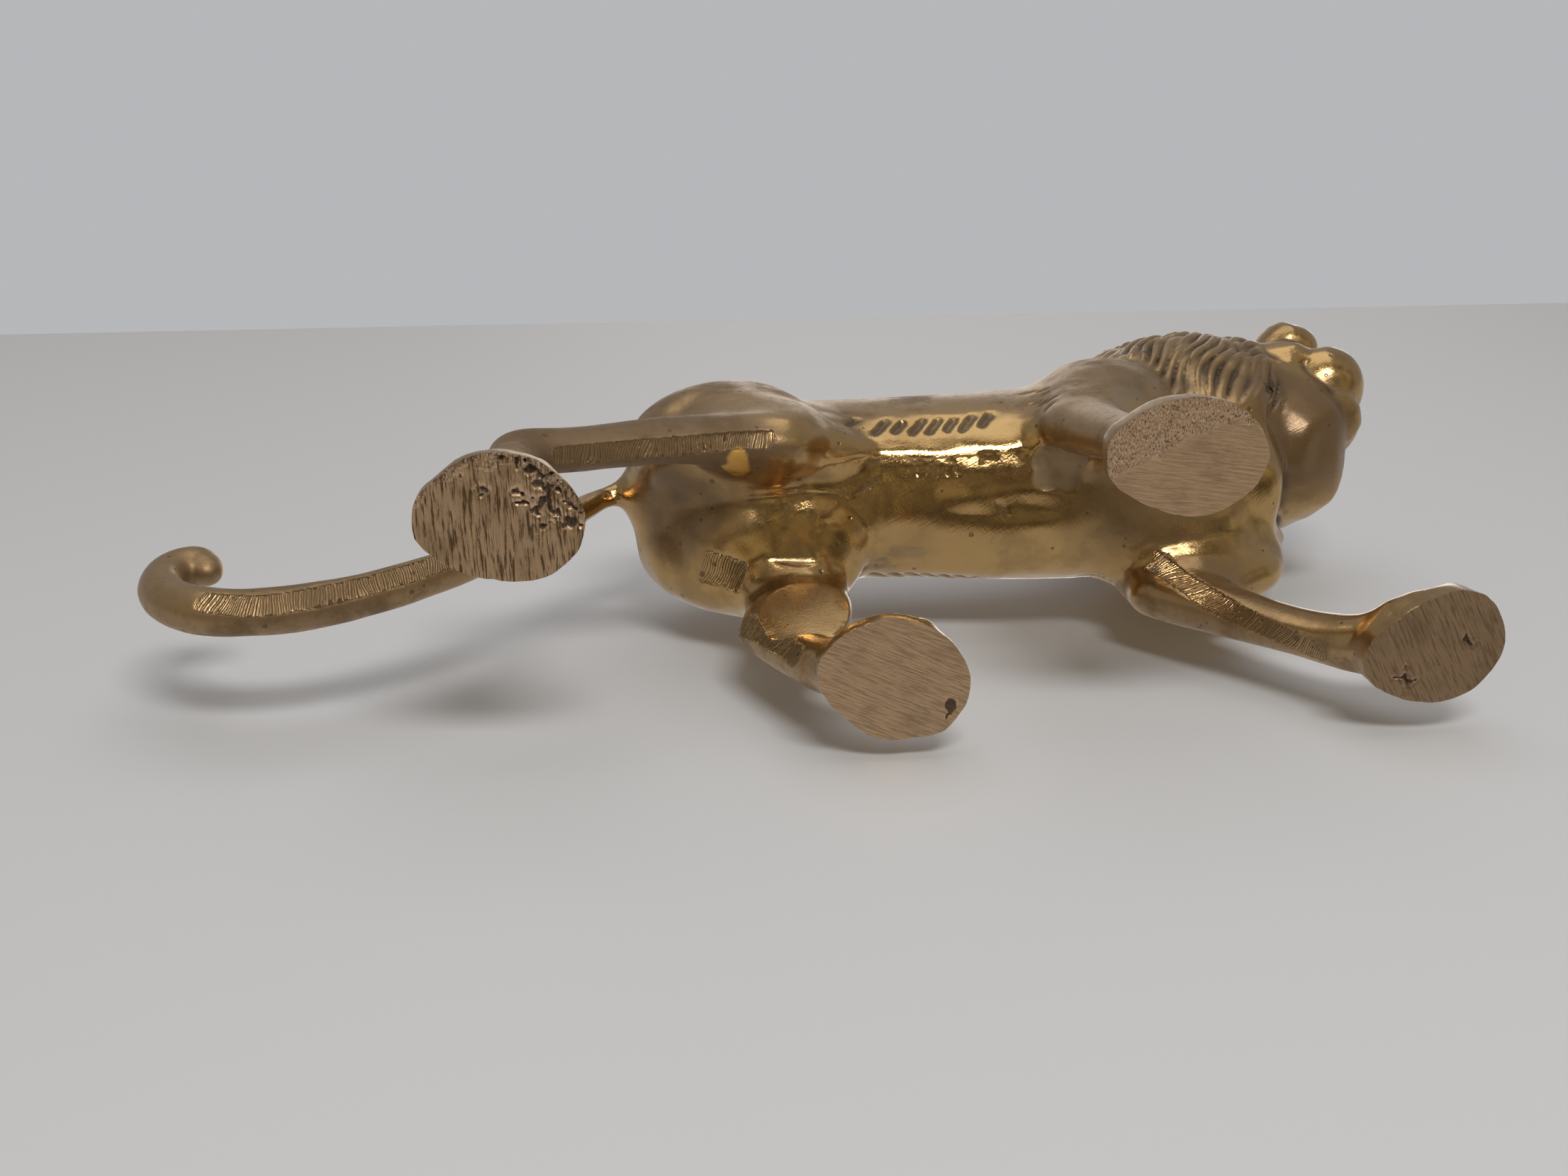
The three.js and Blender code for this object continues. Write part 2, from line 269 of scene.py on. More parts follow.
@dataclass(frozen=True)
class Stroke:
    """A groove along a path on the surface, or a ridge if its depth is negative.

    Sizes are in millimetres; taper is the share of the length that fades out at each end.
    """

    path: tuple[Triple, ...]
    width: float
    depth: float
    taper: float = 0.3

    def heights(self, skin: Skin) -> np.ndarray:
        """How far the stroke moves each point of the surface."""
        laid = on_surface(skin, self.path, 0.6)
        line = evened(skin.places[laid[:, 0].astype(int)], 1)
        low, high = line.min(0) - 2.0 * self.width, line.max(0) + 2.0 * self.width
        near = np.flatnonzero(np.all((skin.places > low) & (skin.places < high), axis=1))
        heights = np.zeros(len(skin.places))
        if len(near) == 0:
            return heights
        away = np.linalg.norm(skin.places[near][:, None] - line[None], axis=2)
        run = laid[np.argmin(away, axis=1), 1] / laid[-1, 1]
        ends = smooth_step(run, 0.0, self.taper) * (1.0 - smooth_step(run, 1.0 - self.taper, 1.0))
        heights[near] = -self.depth * np.exp(-((2.0 * away.min(1) / self.width) ** 2)) * ends
        return heights


def stroked(skin: Skin, strokes: list[Stroke]) -> np.ndarray:
    """Cuts all strokes at once.

    Args:
        skin: the surface.
        strokes: the grooves and ridges.

    Returns:
        Height of each point's move.
    """
    total = np.zeros(len(skin.places))
    for stroke in strokes:
        heights = stroke.heights(skin)
        total = np.where(np.abs(heights) > np.abs(total), heights, total)
    skin.push(total)
    return total


@dataclass(frozen=True)
class Swell:
    """A soft bump, or a dent if its height is negative, with its middle on the surface."""

    place: Triple
    size: Triple
    height: float

    def heights(self, places: np.ndarray) -> np.ndarray:
        """How far the swell moves each point."""
        return self.height * np.exp(-(((places - np.array(self.place)) / np.array(self.size)) ** 2).sum(1))


@dataclass(frozen=True)
class Web:
    """A lump of wax pressed into a corner between a limb and the body before the lion was cast."""

    place: Triple
    size: Triple
    turn: float = 0.0

    def pressed(self) -> bpy.types.Object:
        """Adds the lump.

        Returns:
            The lump, turned about the Y axis by its own angle in degrees.
        """
        deselect()
        place = tuple(value * MM for value in self.place)
        turn = (0.0, math.radians(self.turn), 0.0)
        bpy.ops.mesh.primitive_uv_sphere_add(segments=40, ring_count=20, radius=MM, location=place, rotation=turn)
        bpy.context.active_object.scale = self.size
        return bpy.context.active_object


@dataclass(frozen=True)
class Flat:
    """A facet filed flat: metal beyond its plane is gone, within the radius round its middle."""

    place: Triple
    toward: Triple
    radius: float

    def cut(self, skin: Skin) -> None:
        """Takes the metal away that stands beyond the plane."""
        out = np.array(self.toward) / np.linalg.norm(self.toward)
        offset = skin.places - self.place
        share = 1.0 - smooth_step(np.linalg.norm(offset, axis=1), 0.8 * self.radius, self.radius)
        skin.places = skin.places - (np.clip(offset @ out, 0.0, None) * share)[:, None] * out


@dataclass
class FiledRidge:
    """A band along a limb where the seam of the casting was filed flat, with the file's chatter."""

    path: tuple[Triple, ...]
    depth: float = 0.6
    chatter: float = 0.3
    pitch: float = 1.5
    half_width: float = 4.0
    fade: float = 5.0

    def carve(self, skin: Skin, normals: np.ndarray, filed: np.ndarray, run_along: np.ndarray) -> None:
        """Cuts the band.

        Args:
            skin: the surface.
            normals: the surface's normals.
            filed: share of each point that is filed, which the band adds to.
            run_along: distance along the band, in millimetres, which it sets on its own points.
        """
        laid = on_surface(skin, self.path)
        index = laid[:, 0].astype(int)
        line, out = evened(skin.places[index], 3), evened(normals[index], 6)
        along = np.gradient(line, axis=0)
        along /= np.linalg.norm(along, axis=1, keepdims=True)
        out -= (out * along).sum(1, keepdims=True) * along
        out /= np.linalg.norm(out, axis=1, keepdims=True)
        side = np.cross(along, out)
        low, high = line.min(0) - 2.0 * REACH, line.max(0) + 2.0 * REACH
        near = np.flatnonzero(np.all((skin.places > low) & (skin.places < high), axis=1))
        place = skin.places[near]
        closest = np.argmin(((place[:, None] - line[None]) ** 2).sum(2), axis=1)
        offset = place - line[closest]
        run = laid[closest, 1] + (offset * along[closest]).sum(1)
        across = (offset * side[closest]).sum(1)
        height = (offset * out[closest]).sum(1)
        on = (np.abs(across) < self.half_width) & (np.abs(height) < self.half_width)
        on &= (normals[near] * out[closest]).sum(1) > 0.2
        top = np.zeros(len(line))
        for k in range(len(line)):
            here = on & (closest == k) & (np.abs(across) < 1.0)
            top[k] = height[here].max() if here.any() else 0.0
        top = evened(top, 3)
        level = np.interp(run, laid[:, 1], top) - self.depth
        ends = smooth_step(run, 0.0, self.fade) * (1.0 - smooth_step(run, laid[-1, 1] - self.fade, laid[-1, 1]))
        cut = np.where(on, np.clip(height - level, 0.0, None), 0.0) * ends
        warp = run + 1.6 * lattice(place, 4.0, SEED + 5) + 0.25 * across
        wave = np.abs(np.sin(np.pi * warp / self.pitch)) ** 0.7 - 0.6
        deep = self.chatter * (0.4 + 1.2 * lattice(place, 5.0, SEED + 6))
        band = smooth_step(cut, 0.03, 0.18)
        skin.places[near] -= (cut - deep * wave * band)[:, None] * out[closest]
        filed[near] = np.maximum(filed[near], band)
        run_along[near] = np.where(band > 0.0, warp, run_along[near])


@dataclass
class Mane:
    """Rope-like locks that fall back and down from the crest, behind a smooth ruff round the face.

    The mane is measured from a line through the neck: how far behind the face a point is, and how
    far down the side, both along the surface.
    """

    face: Triple = (127.2, -0.8, 96.5)
    nape: Triple = (66.0, 4.3, 99.0)
    radius: float = 29.0
    pitch: float = 3.4
    row_length: float = 14.5
    rows: int = 3
    first_row: float = 10.0
    lift: float = 1.45
    top_slope: float = 0.7
    steeper: float = 0.022
    wave: float = 0.8
    wave_length: float = 23.0
    throat_bare_from: float = 128.0
    right_dome: tuple[float, float, float, float] = (70.0, 81.0, 18.0, 18.5)
    left_dome: tuple[float, float, float, float] = (92.0, 80.0, 21.0, 22.0)

    def measured(self, places: np.ndarray) -> tuple[np.ndarray, np.ndarray, np.ndarray]:
        """Place of each point on the mane.

        Args:
            places: points, in millimetres.

        Returns:
            Distance behind the face, angle from the top in degrees, and distance from the line.
        """
        start, end = np.array(self.face), np.array(self.nape)
        along = (end - start) / np.linalg.norm(end - start)
        offset = places - start
        behind = offset @ along
        offset = offset - behind[:, None] * along
        return behind, np.degrees(np.arctan2(offset[:, 1], offset[:, 2])), np.linalg.norm(offset, axis=1)

    def share(self, places: np.ndarray) -> np.ndarray:
        """How much each point belongs to the mane, from 0 to 1."""
        behind, angle, away = self.measured(places)
        last = self.first_row + self.rows * self.row_length
        on = smooth_step(behind, self.first_row - 4.0, self.first_row + 1.0)
        on *= 1.0 - smooth_step(behind, last, last + 7.0)
        on *= smooth_step(away, 12.0, 17.0) * (1.0 - smooth_step(away, 43.0, 50.0))
        low = np.where(places[:, 1] < BODY_Y, 56.0, 63.0)
        on *= smooth_step(places[:, 2] - low, 0.0, 8.0)
        for sign, (x, z, long, high) in ((-1.0, self.right_dome), (1.0, self.left_dome)):
            apart = np.hypot((places[:, 0] - x) / long, (places[:, 2] - z) / high)
            beside = smooth_step(sign * (places[:, 1] - 4.3), 6.0, 10.0)
            on *= 1.0 - beside * (1.0 - smooth_step(apart, 0.85, 1.08))
        return on * (1.0 - smooth_step(np.abs(angle), self.throat_bare_from, self.throat_bare_from + 20.0))

    def carve(self, skin: Skin) -> tuple[np.ndarray, np.ndarray]:
        """Raises the locks out of the surface.

        Args:
            skin: the surface.

        Returns:
            Share of each point that lies on the mane, and how deep it lies between two locks.
        """
        on = self.share(skin.places)
        near = np.flatnonzero(on > 0.001)
        behind, angle, _ = self.measured(skin.places[near])
        down = np.abs(np.radians(angle)) * self.radius
        fall = np.log(1.0 + self.steeper * down / self.top_slope) / self.steeper
        turned = 2.0 * np.pi / self.wave_length
        sway = self.wave * (np.sin(turned * behind + down / 9.0) + 0.6 * np.sin(turned * down - behind / 13.0))
        track = (fall - behind + sway) / self.pitch
        heights = np.zeros(len(near))
        for row in range(self.rows + 1):
            lane = track + 0.5 * (row % 2) + 7.0 * (angle > 0.0)
            strand = np.floor(lane)
            across = np.abs(lane - strand - 0.5) * 2.0
            jitter = (np.sin(strand * 12.9898 + row * 78.233) * 43758.5453) % 1.0
            start = self.first_row + (row - 1) * self.row_length - 3.5 + 7.0 * jitter
            run = (behind - start) / (self.row_length * 1.55)
            inside = (run > 0.0) & (run < 1.0)
            width = np.clip(1.1 - 0.95 * np.clip(run, 0.0, 1.0) ** 4, 0.05, 1.2)
            rope = np.clip(1.0 - (across / width) ** 2, 0.0, 1.0) ** 0.6
            swell = smooth_step(run, 0.0, 0.35) * (1.0 - 0.6 * smooth_step(run, 0.8, 1.0))
            crown = (0.2 + 0.8 * swell) * (0.8 + 0.35 * jitter)
            heights = np.maximum(heights, np.where(inside, rope * crown, 0.0))
        moves, deep = np.zeros(len(skin.places)), np.zeros(len(skin.places))
        moves[near] = self.lift * (heights - 0.5) * on[near]
        deep[near] = (1.0 - smooth_step(heights, 0.1, 0.6)) * on[near]
        skin.push(moves)
        return on, deep


@dataclass
class Sole:
    """One ground sole: where it is and what is left uneven in it."""

    name: str
    centre: tuple[float, float]
    radius: float = 22.0
    coarse_line: tuple[tuple[float, float], ...] = ()
    coarse_depth: float = 0.35
    outline: tuple[float, ...] = ()
    pits: tuple[tuple[float, float, float], ...] = ()
    pit_depth: float = 1.1

    def shape(self, skin: Skin) -> None:
        """Gives the paw the sole's outline, less and less towards its top.

        Args:
            skin: the surface.
        """
        offset = skin.places[:, :2] - np.array(self.centre)
        away = np.linalg.norm(offset, axis=1)
        height = skin.places[:, 2]
        near = np.flatnonzero((away < self.radius) & (height < 13.0))
        turn = np.degrees(np.arctan2(offset[near, 1], offset[near, 0])) % 360.0
        rim = np.abs(height[near]) < 0.8
        sector = (turn // 12.0).astype(int)
        reach = np.array([away[near][rim & (sector == k)].max(initial=1.0) for k in range(30)])
        middles = np.arange(30) * 12.0 + 6.0
        now = np.interp(turn, middles, reach, period=360.0)
        wanted = np.interp(turn, np.arange(len(self.outline)) * 360.0 / len(self.outline), self.outline, period=360.0)
        share = (1.0 - smooth_step(height[near], 1.5, 12.0)) * smooth_step(away[near], 2.0, 8.0)
        skin.places[near, :2] += offset[near] * ((wanted / now - 1.0) * share)[:, None]

    def share(self, places: np.ndarray) -> np.ndarray:
        """Points that lie on this sole, as true or false."""
        flat = np.abs(places[:, 2]) < 0.02
        return flat & (np.linalg.norm(places[:, :2] - np.array(self.centre), axis=1) < self.radius)

    def carve(self, skin: Skin, coarse: np.ndarray, pitted: np.ndarray) -> None:
        """Leaves the grain of the casting where the file missed it, and its pits.

        Args:
            skin: the surface.
            coarse: share of each point that the file missed, which this sole adds to.
            pitted: share of each point that lies in a pit, which this sole adds to.
        """
        on = np.flatnonzero(self.share(skin.places))
        place = skin.places[on]
        if self.coarse_line:
            line = np.array(self.coarse_line)
            edge = np.interp(place[:, 0], line[:, 0], line[:, 1])
            away = edge - place[:, 1] + 2.0 * (lattice(place, 2.2, SEED) - 0.5)
            missed = smooth_step(away, 0.0, 1.0)
            grain = lattice(place * (1.0, 0.55, 1.0), 1.0, SEED + 1)
            skin.places[on, 2] += self.coarse_depth * missed * smooth_step(grain, 0.25, 0.85)
            coarse[on] = missed
        for x, y, size in self.pits:
            apart = np.hypot(place[:, 0] - x, place[:, 1] - y) / size
            ragged = 0.55 * lattice(place * (0.8, 1.5, 1.0), 1.6, SEED + 2) + 0.7 * lattice(place, 0.8, SEED + 4)
            deep = smooth_step(ragged - 0.42 * apart, 0.3, 0.55)
            skin.places[on, 2] = np.maximum(skin.places[on, 2], self.pit_depth * deep)
            pitted[on] = np.maximum(pitted[on], deep)


BELLY_STROKES = [
    Stroke(((7.0, 1.4, 61.4), (16.7, -5.1, 61.2)), 1.5, 0.35),
    Stroke(((-3.0, 8.0, 60.0), (6.0, 2.0, 61.3)), 1.6, 0.25),
    Stroke(((41.0, 1.0, 59.0), (44.5, 6.5, 58.0)), 1.4, 0.3),
] + [
    Stroke(((19.9 + 2.3 * k, -6.6, 60.6), (21.6 + 2.3 * k, -3.6, 60.0)), 1.3, 0.3, 0.4) for k in range(6)
]
YELLOW_FLAW = ((-19.0, -11.6, 50.5), (3.4, 5.4, 7.0))
BROWN_ZONES = (
    ((-38.0, -17.0, 42.0), (38.0, 15.0, 16.0), 1.3),
    ((-28.0, 3.0, 66.0), (20.0, 15.0, 14.0), 0.9),
    ((-4.0, 18.0, 36.0), (14.0, 9.0, 10.0), 0.5),
    ((118.0, -8.0, 82.0), (24.0, 22.0, 16.0), 1.2),
    ((76.0, 0.0, 62.0), (26.0, 20.0, 12.0), 0.9),
    ((-108.0, 6.0, 28.0), (52.0, 14.0, 34.0), 0.3),
    ((92.0, 20.0, 36.0), (22.0, 12.0, 24.0), 0.4),
)
NO_LENGTH = 1e-7
RAW_PATCHES = (
    ((55.2, -6.6, 59.5), (6.4, 5.8, 12.0), 0.5, 1.0),
    ((13.0, 17.2, 63.6), (4.5, 2.0, 2.5), 0.15, 0.4),
    ((21.5, 14.2, 60.7), (5.0, 1.8, 2.5), 0.15, 0.4),
    ((-44.0, 6.0, 66.0), (5.0, 3.0, 6.0), 0.1, 0.5),
)


def rib_strokes() -> list[Stroke]:
    """The slanted chisel strokes on both flanks, evenly spaced but for small slips of the hand."""
    middles = [
        (9.5, -14.4, 70.7),
        (16.1, -13.9, 69.2),
        (20.2, -13.9, 68.7),
        (24.5, -14.1, 68.4),
        (28.2, -14.0, 68.0),
        (32.0, -14.1, 67.8),
        (36.0, -14.4, 67.8),
        (40.3, -14.9, 68.2),
    ]
    strokes = []
    for count, (x, y, z) in enumerate(middles):
        length = 0.9 + 0.12 * math.sin(2.3 * count)
        for sign in (-1.0, 1.0):
            side = (y - BODY_Y) * -sign + BODY_Y
            tilt = 1.9 * sign
            ahead = (x + 2.7 * length, side + tilt * length, z + 2.9 * length)
            behind = (x - 2.7 * length, side - tilt * length, z - 2.9 * length)
            strokes.append(Stroke((behind, ahead), 2.0, 0.9, 0.28))
    return strokes


def shoulder_strokes() -> list[Stroke]:
    """Short strokes for the hair behind each shoulder."""
    strokes = []
    for count in range(7):
        share = count / 6.0
        z = 61.0 + 18.0 * share
        for sign, shift in ((-1.0, 0.0), (1.0, 13.0)):
            x, y = 53.5 + shift + 2.0 * math.sin(1.7 * count), BODY_Y + sign * (23.0 + 1.5 * share)
            strokes.append(Stroke(((x - 3.2, y, z + 1.6), (x + 3.0, y, z - 1.4)), 1.3, 0.4, 0.4))
    return strokes


@dataclass
class Casting:
    """The whole lion, cast in one piece: the solid's form with its edges melted together.

    Sizes are in millimetres.
    """

    grain: float = 0.5
    quick_grain: float = 0.8
    sink: float = 3.0
    melt: float = 5.0
    fine_melt: float = 0.55
    regain: float = 26.0
    most_triangles: int = 196000
    dents: float = 0.36
    facets: float = 1.2
    fill: float = 20.0
    fill_gain: float = 1.35
    mane: Mane = field(default_factory=Mane)
    soles: tuple[Sole, ...] = (
        Sole(
            "sole_hind_right",
            (-67.5, -16.2),
            outline=(16.6, 16.4, 15.4, 13.4, 12.1, 12.5, 13.9, 15.7, 15.5, 14.0, 13.1, 12.8, 13.2, 14.2, 15.1),
            pits=(
                (-66.0, -27.6, 1.5),
                (-63.4, -27.0, 2.0),
                (-61.0, -25.2, 1.5),
                (-58.6, -23.6, 2.2),
                (-56.2, -21.6, 1.6),
                (-54.6, -19.2, 2.3),
                (-58.4, -19.8, 2.2),
                (-60.6, -17.6, 1.7),
                (-56.4, -16.8, 2.2),
                (-53.8, -15.8, 1.8),
                (-62.6, -20.8, 1.5),
                (-59.2, -14.4, 1.4),
                (-72.5, -25.6, 1.3),
                (-69.6, -22.0, 1.2),
            ),
            pit_depth=0.7,
            coarse_line=((-84.0, -17.0), (-79.0, -22.5), (-71.0, -26.3), (-62.0, -25.8), (-55.0, -21.0), (-51.0, -15.0)),
            coarse_depth=0.45,
        ),
        Sole(
            "sole_hind_left",
            (8.3, 19.6),
            outline=(15.5, 16.1, 16.1, 13.8, 13.3, 13.0, 13.0, 14.3, 15.7, 15.0, 13.4, 13.2, 13.3, 13.5, 14.1),
            pits=((19.6, 26.2, 1.8),),
            pit_depth=0.5,
        ),
        Sole(
            "sole_fore_right",
            (65.0, -24.1),
            outline=(16.1, 15.0, 13.6, 12.5, 11.5, 11.8, 13.6, 16.0, 16.6, 14.6, 12.7, 12.0, 12.5, 13.9, 14.7),
            coarse_line=((48.0, -20.2), (57.5, -23.2), (64.1, -27.5), (69.1, -30.5), (74.3, -31.1), (79.2, -29.5)),
        ),
        Sole(
            "sole_fore_left",
            (119.9, 16.9),
            outline=(15.1, 14.8, 14.3, 13.3, 12.8, 13.4, 14.6, 15.5, 13.1, 10.6, 10.0, 10.6, 12.6, 14.3, 14.5),
            pits=((114.5, 24.6, 2.2), (127.0, 16.0, 1.6)),
            pit_depth=0.6,
        ),
    )
    ridges: tuple[FiledRidge, ...] = (
        FiledRidge(((-60.0, -17.6, 35.5), (-48.8, -17.4, 39.0), (-34.0, -17.6, 42.5), (-20.4, -17.8, 45.5), (-9.0, -17.5, 48.0)), depth=0.8, chatter=0.4, half_width=2.0),
        FiledRidge(((-27.0, 13.8, 59.6), (-20.0, 15.8, 54.2), (-15.2, 16.8, 50.0)), depth=0.5),
        FiledRidge(((-22.0, 19.0, 38.5), (-16.8, 19.4, 26.5), (-11.7, 18.6, 17.5), (-9.0, 18.0, 8.0))),
        FiledRidge(((76.5, 15.2, 57.0), (79.0, 16.2, 52.5), (87.0, 19.5, 32.5), (96.0, 21.6, 18.4), (104.0, 23.4, 8.6)), half_width=2.8),
        FiledRidge(((-131.5, 6.8, 25.5), (-117.1, 7.4, 21.6), (-102.2, 6.3, 25.8), (-88.8, 5.6, 34.2), (-78.0, 4.6, 43.5)), half_width=2.9),
    )
    webs: tuple[Web, ...] = (
        Web((-10.0, 8.0, 66.0), (21.0, 14.0, 9.5)),
        Web((-5.5, 19.6, 40.0), (11.5, 5.2, 21.0), 10.0),
        Web((-8.0, 13.0, 60.5), (21.0, 16.0, 7.5)),
        Web((-1.0, -8.5, 65.0), (15.0, 7.5, 8.0)),
        Web((82.0, 9.0, 66.0), (24.0, 12.0, 11.0)),
        Web((133.8, -12.5, 100.4), (10.8, 10.8, 10.0)),
        Web((131.0, -19.5, 116.0), (7.4, 6.3, 7.4)),
        Web((133.8, 10.2, 116.6), (7.4, 6.3, 7.4)),
    )
    flats: tuple[Flat, ...] = (
        Flat((-7.0, 16.6, 37.0), (0.08, -0.96, -0.27), 18.0),
        Flat((-16.0, 17.4, 24.0), (-0.78, -0.5, -0.37), 13.0),
        Flat((-38.0, -17.0, 36.5), (0.35, 0.1, -0.93), 15.0),
    )
    swells: tuple[Swell, ...] = (
        Swell((-28.2, -20.2, 69.8), (5.0, 5.0, 3.4), -1.1),
        Swell((48.5, 2.6, 57.2), (7.5, 2.8, 5.0), -0.7),
        Swell((-46.1, 3.1, 78.3), (1.8, 1.8, 1.8), -0.9),
        Swell((128.0, -22.5, 106.5), (5.5, 4.0, 5.0), -2.4),
        Swell((144.2, 2.2, 99.8), (6.0, 6.0, 7.0), -4.2),
    )

    def poured(self) -> bpy.types.Object:
        """Copies the solid, lets the paws reach below the floor and makes one even mesh of it."""
        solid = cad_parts["lion"]
        piece = bpy.data.objects.new("lion_casting", solid.data.copy())
        bpy.context.scene.collection.objects.link(piece)
        piece.data.materials.clear()
        focus(piece)
        bpy.ops.object.mode_set(mode="EDIT")
        bpy.ops.mesh.select_all(action="SELECT")
        bpy.ops.mesh.remove_doubles(threshold=1e-6)
        bpy.ops.mesh.select_all(action="DESELECT")
        bpy.ops.object.mode_set(mode="OBJECT")
        for vertex in piece.data.vertices:
            vertex.select = vertex.co.z < 1e-5
        bpy.ops.object.mode_set(mode="EDIT")
        bpy.ops.transform.translate(value=(0.0, 0.0, -self.sink * MM))
        bpy.ops.object.mode_set(mode="OBJECT")
        lumps = [web.pressed() for web in self.webs]
        focus(piece)
        for lump in lumps:
            lump.select_set(True)
        bpy.ops.object.join()
        size = self.grain
        applied(piece, "REMESH", mode="VOXEL", voxel_size=size * MM)
        return piece

    def fineness(self, places: np.ndarray) -> np.ndarray:
        """Where small forms have to survive: the toes, the face and the mane, from 0 to 1."""
        toes = smooth_step(places[:, 2], 2.0, 4.5) * (1.0 - smooth_step(places[:, 2], 9.0, 17.0))
        head = smooth_step(places[:, 0], 112.0, 120.0) * smooth_step(places[:, 2], 70.0, 80.0)
        return np.maximum(0.9 * toes, head * (1.0 - self.mane.share(places)))

    def melted(self, skin: Skin) -> None:
        """Rounds edges and facets off, and gives slender forms back the width that this takes.

        Args:
            skin: the surface.
        """
        size = self.grain
        step = 0.8 * size * size / 4.0
        fine = self.fineness(skin.places)
        share = 0.8 * (1.0 - fine * (1.0 - self.fine_melt / self.melt))
        before = skin.places
        skin.places = skin.spread(before, round(self.melt / step), share[:, None])
        normals = skin.normals()
        lost = ((before - skin.places) * normals).sum(1)
        lost = skin.spread(lost, round(self.regain / step))
        skin.places = skin.places + normals * lost[:, None]
        calm = skin.spread(skin.places, round(self.fill / step))
        rise = ((calm - skin.places) * skin.normals()).sum(1)
        trunk = self.trunk(skin.places)
        lumps = self.mane.share(skin.places)
        rise = np.where(rise > 0.0, rise * np.maximum(trunk * self.fill_gain, lumps), rise * lumps)
        skin.push(skin.spread(rise, round(1.5 / step)))

    def trunk(self, places: np.ndarray) -> np.ndarray:
        """Where limbs run into the body with wide hollows, from 0 to 1."""
        on = smooth_step(places[:, 2], 36.0, 48.0) * (1.0 - smooth_step(places[:, 2], 76.0, 92.0))
        on *= smooth_step(places[:, 0], -46.0, -34.0) * (1.0 - smooth_step(places[:, 0], 104.0, 112.0))
        throat = smooth_step(places[:, 0], 88.0, 98.0) * (1.0 - smooth_step(places[:, 0], 124.0, 129.0))
        throat *= smooth_step(places[:, 2], 54.0, 62.0) * (1.0 - smooth_step(places[:, 2], 92.0, 99.0))
        return np.maximum(on, throat)

    def flanks(self, skin: Skin) -> np.ndarray:
        """Cuts the belly's edge, the strokes on the flanks and the dents that the hand left.

        Args:
            skin: the surface.

        Returns:
            Share of each point that lies in a stroke's groove, which the polishing wheel missed and where the brass
            gets painted shade and grime.
        """
        place = skin.places
        edge = np.interp(place[:, 0], BELLY_EDGE[0], BELLY_EDGE[1])
        beyond = place[:, 1] - edge
        along = smooth_step(place[:, 0], -3.0, 3.0) * (1.0 - smooth_step(place[:, 0], 45.0, 50.0))
        under = 1.0 - smooth_step(place[:, 2], 68.0, 72.0)
        step = np.where(beyond > 0.0, np.exp(-beyond / 6.0), 0.0) - 0.5 * np.exp(-((beyond + 1.2) / 1.6) ** 2)
        moves = -0.55 * step * along * under
        moves += self.dents * (lattice(place, 11.0, SEED + 3) - 0.5)
        moves += 0.25 * self.dents * (lattice(place, 4.3, SEED + 13) - 0.5)
        creases = np.abs(lattice(place * (0.7, 1.2, 1.0), 13.0, SEED + 17) - 0.5)
        creases += 0.5 * np.abs(lattice(place * (0.8, 1.0, 1.0), 7.0, SEED + 18) - 0.5)
        moves += self.facets * (creases - 0.3) * self.trunk(place)
        for swell in self.swells:
            moves += swell.heights(place)
        skin.push(moves)
        heights = stroked(skin, rib_strokes() + shoulder_strokes() + BELLY_STROKES)
        return smooth_step(-heights, 0.08, 0.35)

    def yellow_flaw(self, skin: Skin) -> np.ndarray:
        """Fills a flaw in the right thigh with yellow metal, with a small hole left in it.

        Args:
            skin: the surface.

        Returns:
            Share of each point that is yellow.
        """
        apart = np.linalg.norm((skin.places - YELLOW_FLAW[0]) / YELLOW_FLAW[1], axis=1)
        ragged = apart + 0.6 * (lattice(skin.places, 3.0, SEED + 14) - 0.5)
        on = 1.0 - smooth_step(ragged, 0.82, 1.0)
        hole = np.exp(-((np.linalg.norm(skin.places - YELLOW_FLAW[0], axis=1) / 0.8) ** 2))
        skin.push(0.3 * on - 1.0 * hole)
        return on

    def rough_patches(self, skin: Skin) -> np.ndarray:
        """Leaves raw patches of casting skin where no tool could reach.

        Args:
            skin: the surface.

        Returns:
            Share of each point that is raw.
        """
        raw = np.zeros(len(skin.places))
        for (x, y, z), (rx, ry, rz), deep, bare in RAW_PATCHES:
            place = (skin.places - (x, y, z)) / (rx, ry, rz)
            apart = (np.abs(place) ** 4.0).sum(1) ** 0.25
            near = np.flatnonzero(apart < 2.0)
            ragged = apart[near] + 0.35 * (lattice(skin.places[near], 2.5, SEED + 8) - 0.5)
            on = 1.0 - smooth_step(ragged, 0.85, 1.0)
            grain = lattice(skin.places[near], 1.1, SEED + 9) + 0.6 * lattice(skin.places[near], 2.6, SEED + 10)
            moves = np.zeros(len(skin.places))
            moves[near] = on * (-deep + 0.4 * (grain - 0.8))
            skin.push(moves)
            raw[near] = np.maximum(raw[near], bare * on)
        return raw

    def polish(self, skin: Skin) -> np.ndarray:
        """How much each point was rubbed bright, from 0 to 1."""
        normals, place = skin.normals(), skin.places
        side = np.sign(place[:, 1] - BODY_Y)
        belly = smooth_step(-normals[:, 2], 0.1, 0.5) * smooth_step(place[:, 2], 44.0, 54.0)
        inner = smooth_step(-side * normals[:, 1], 0.25, 0.65) * (1.0 - smooth_step(place[:, 2], 66.0, 74.0))
        front = smooth_step(place[:, 0], 100.0, 112.0) * smooth_step(normals[:, 0] - 0.5 * normals[:, 2], -0.1, 0.35)
        bright = np.maximum(np.maximum(belly, 0.8 * inner), front)
        away = (place[:, 0] < -12.0) & (place[:, 1] < -9.0) | (place[:, 0] < -52.0)
        bright *= np.where(away, 0.25, 1.0)
        cloudy = lattice(place, 14.0, SEED + 11) * 0.5 + lattice(place, 5.0, SEED + 12) * 0.3
        return np.clip(0.1 + bright * (0.65 + cloudy), 0.0, 1.0)

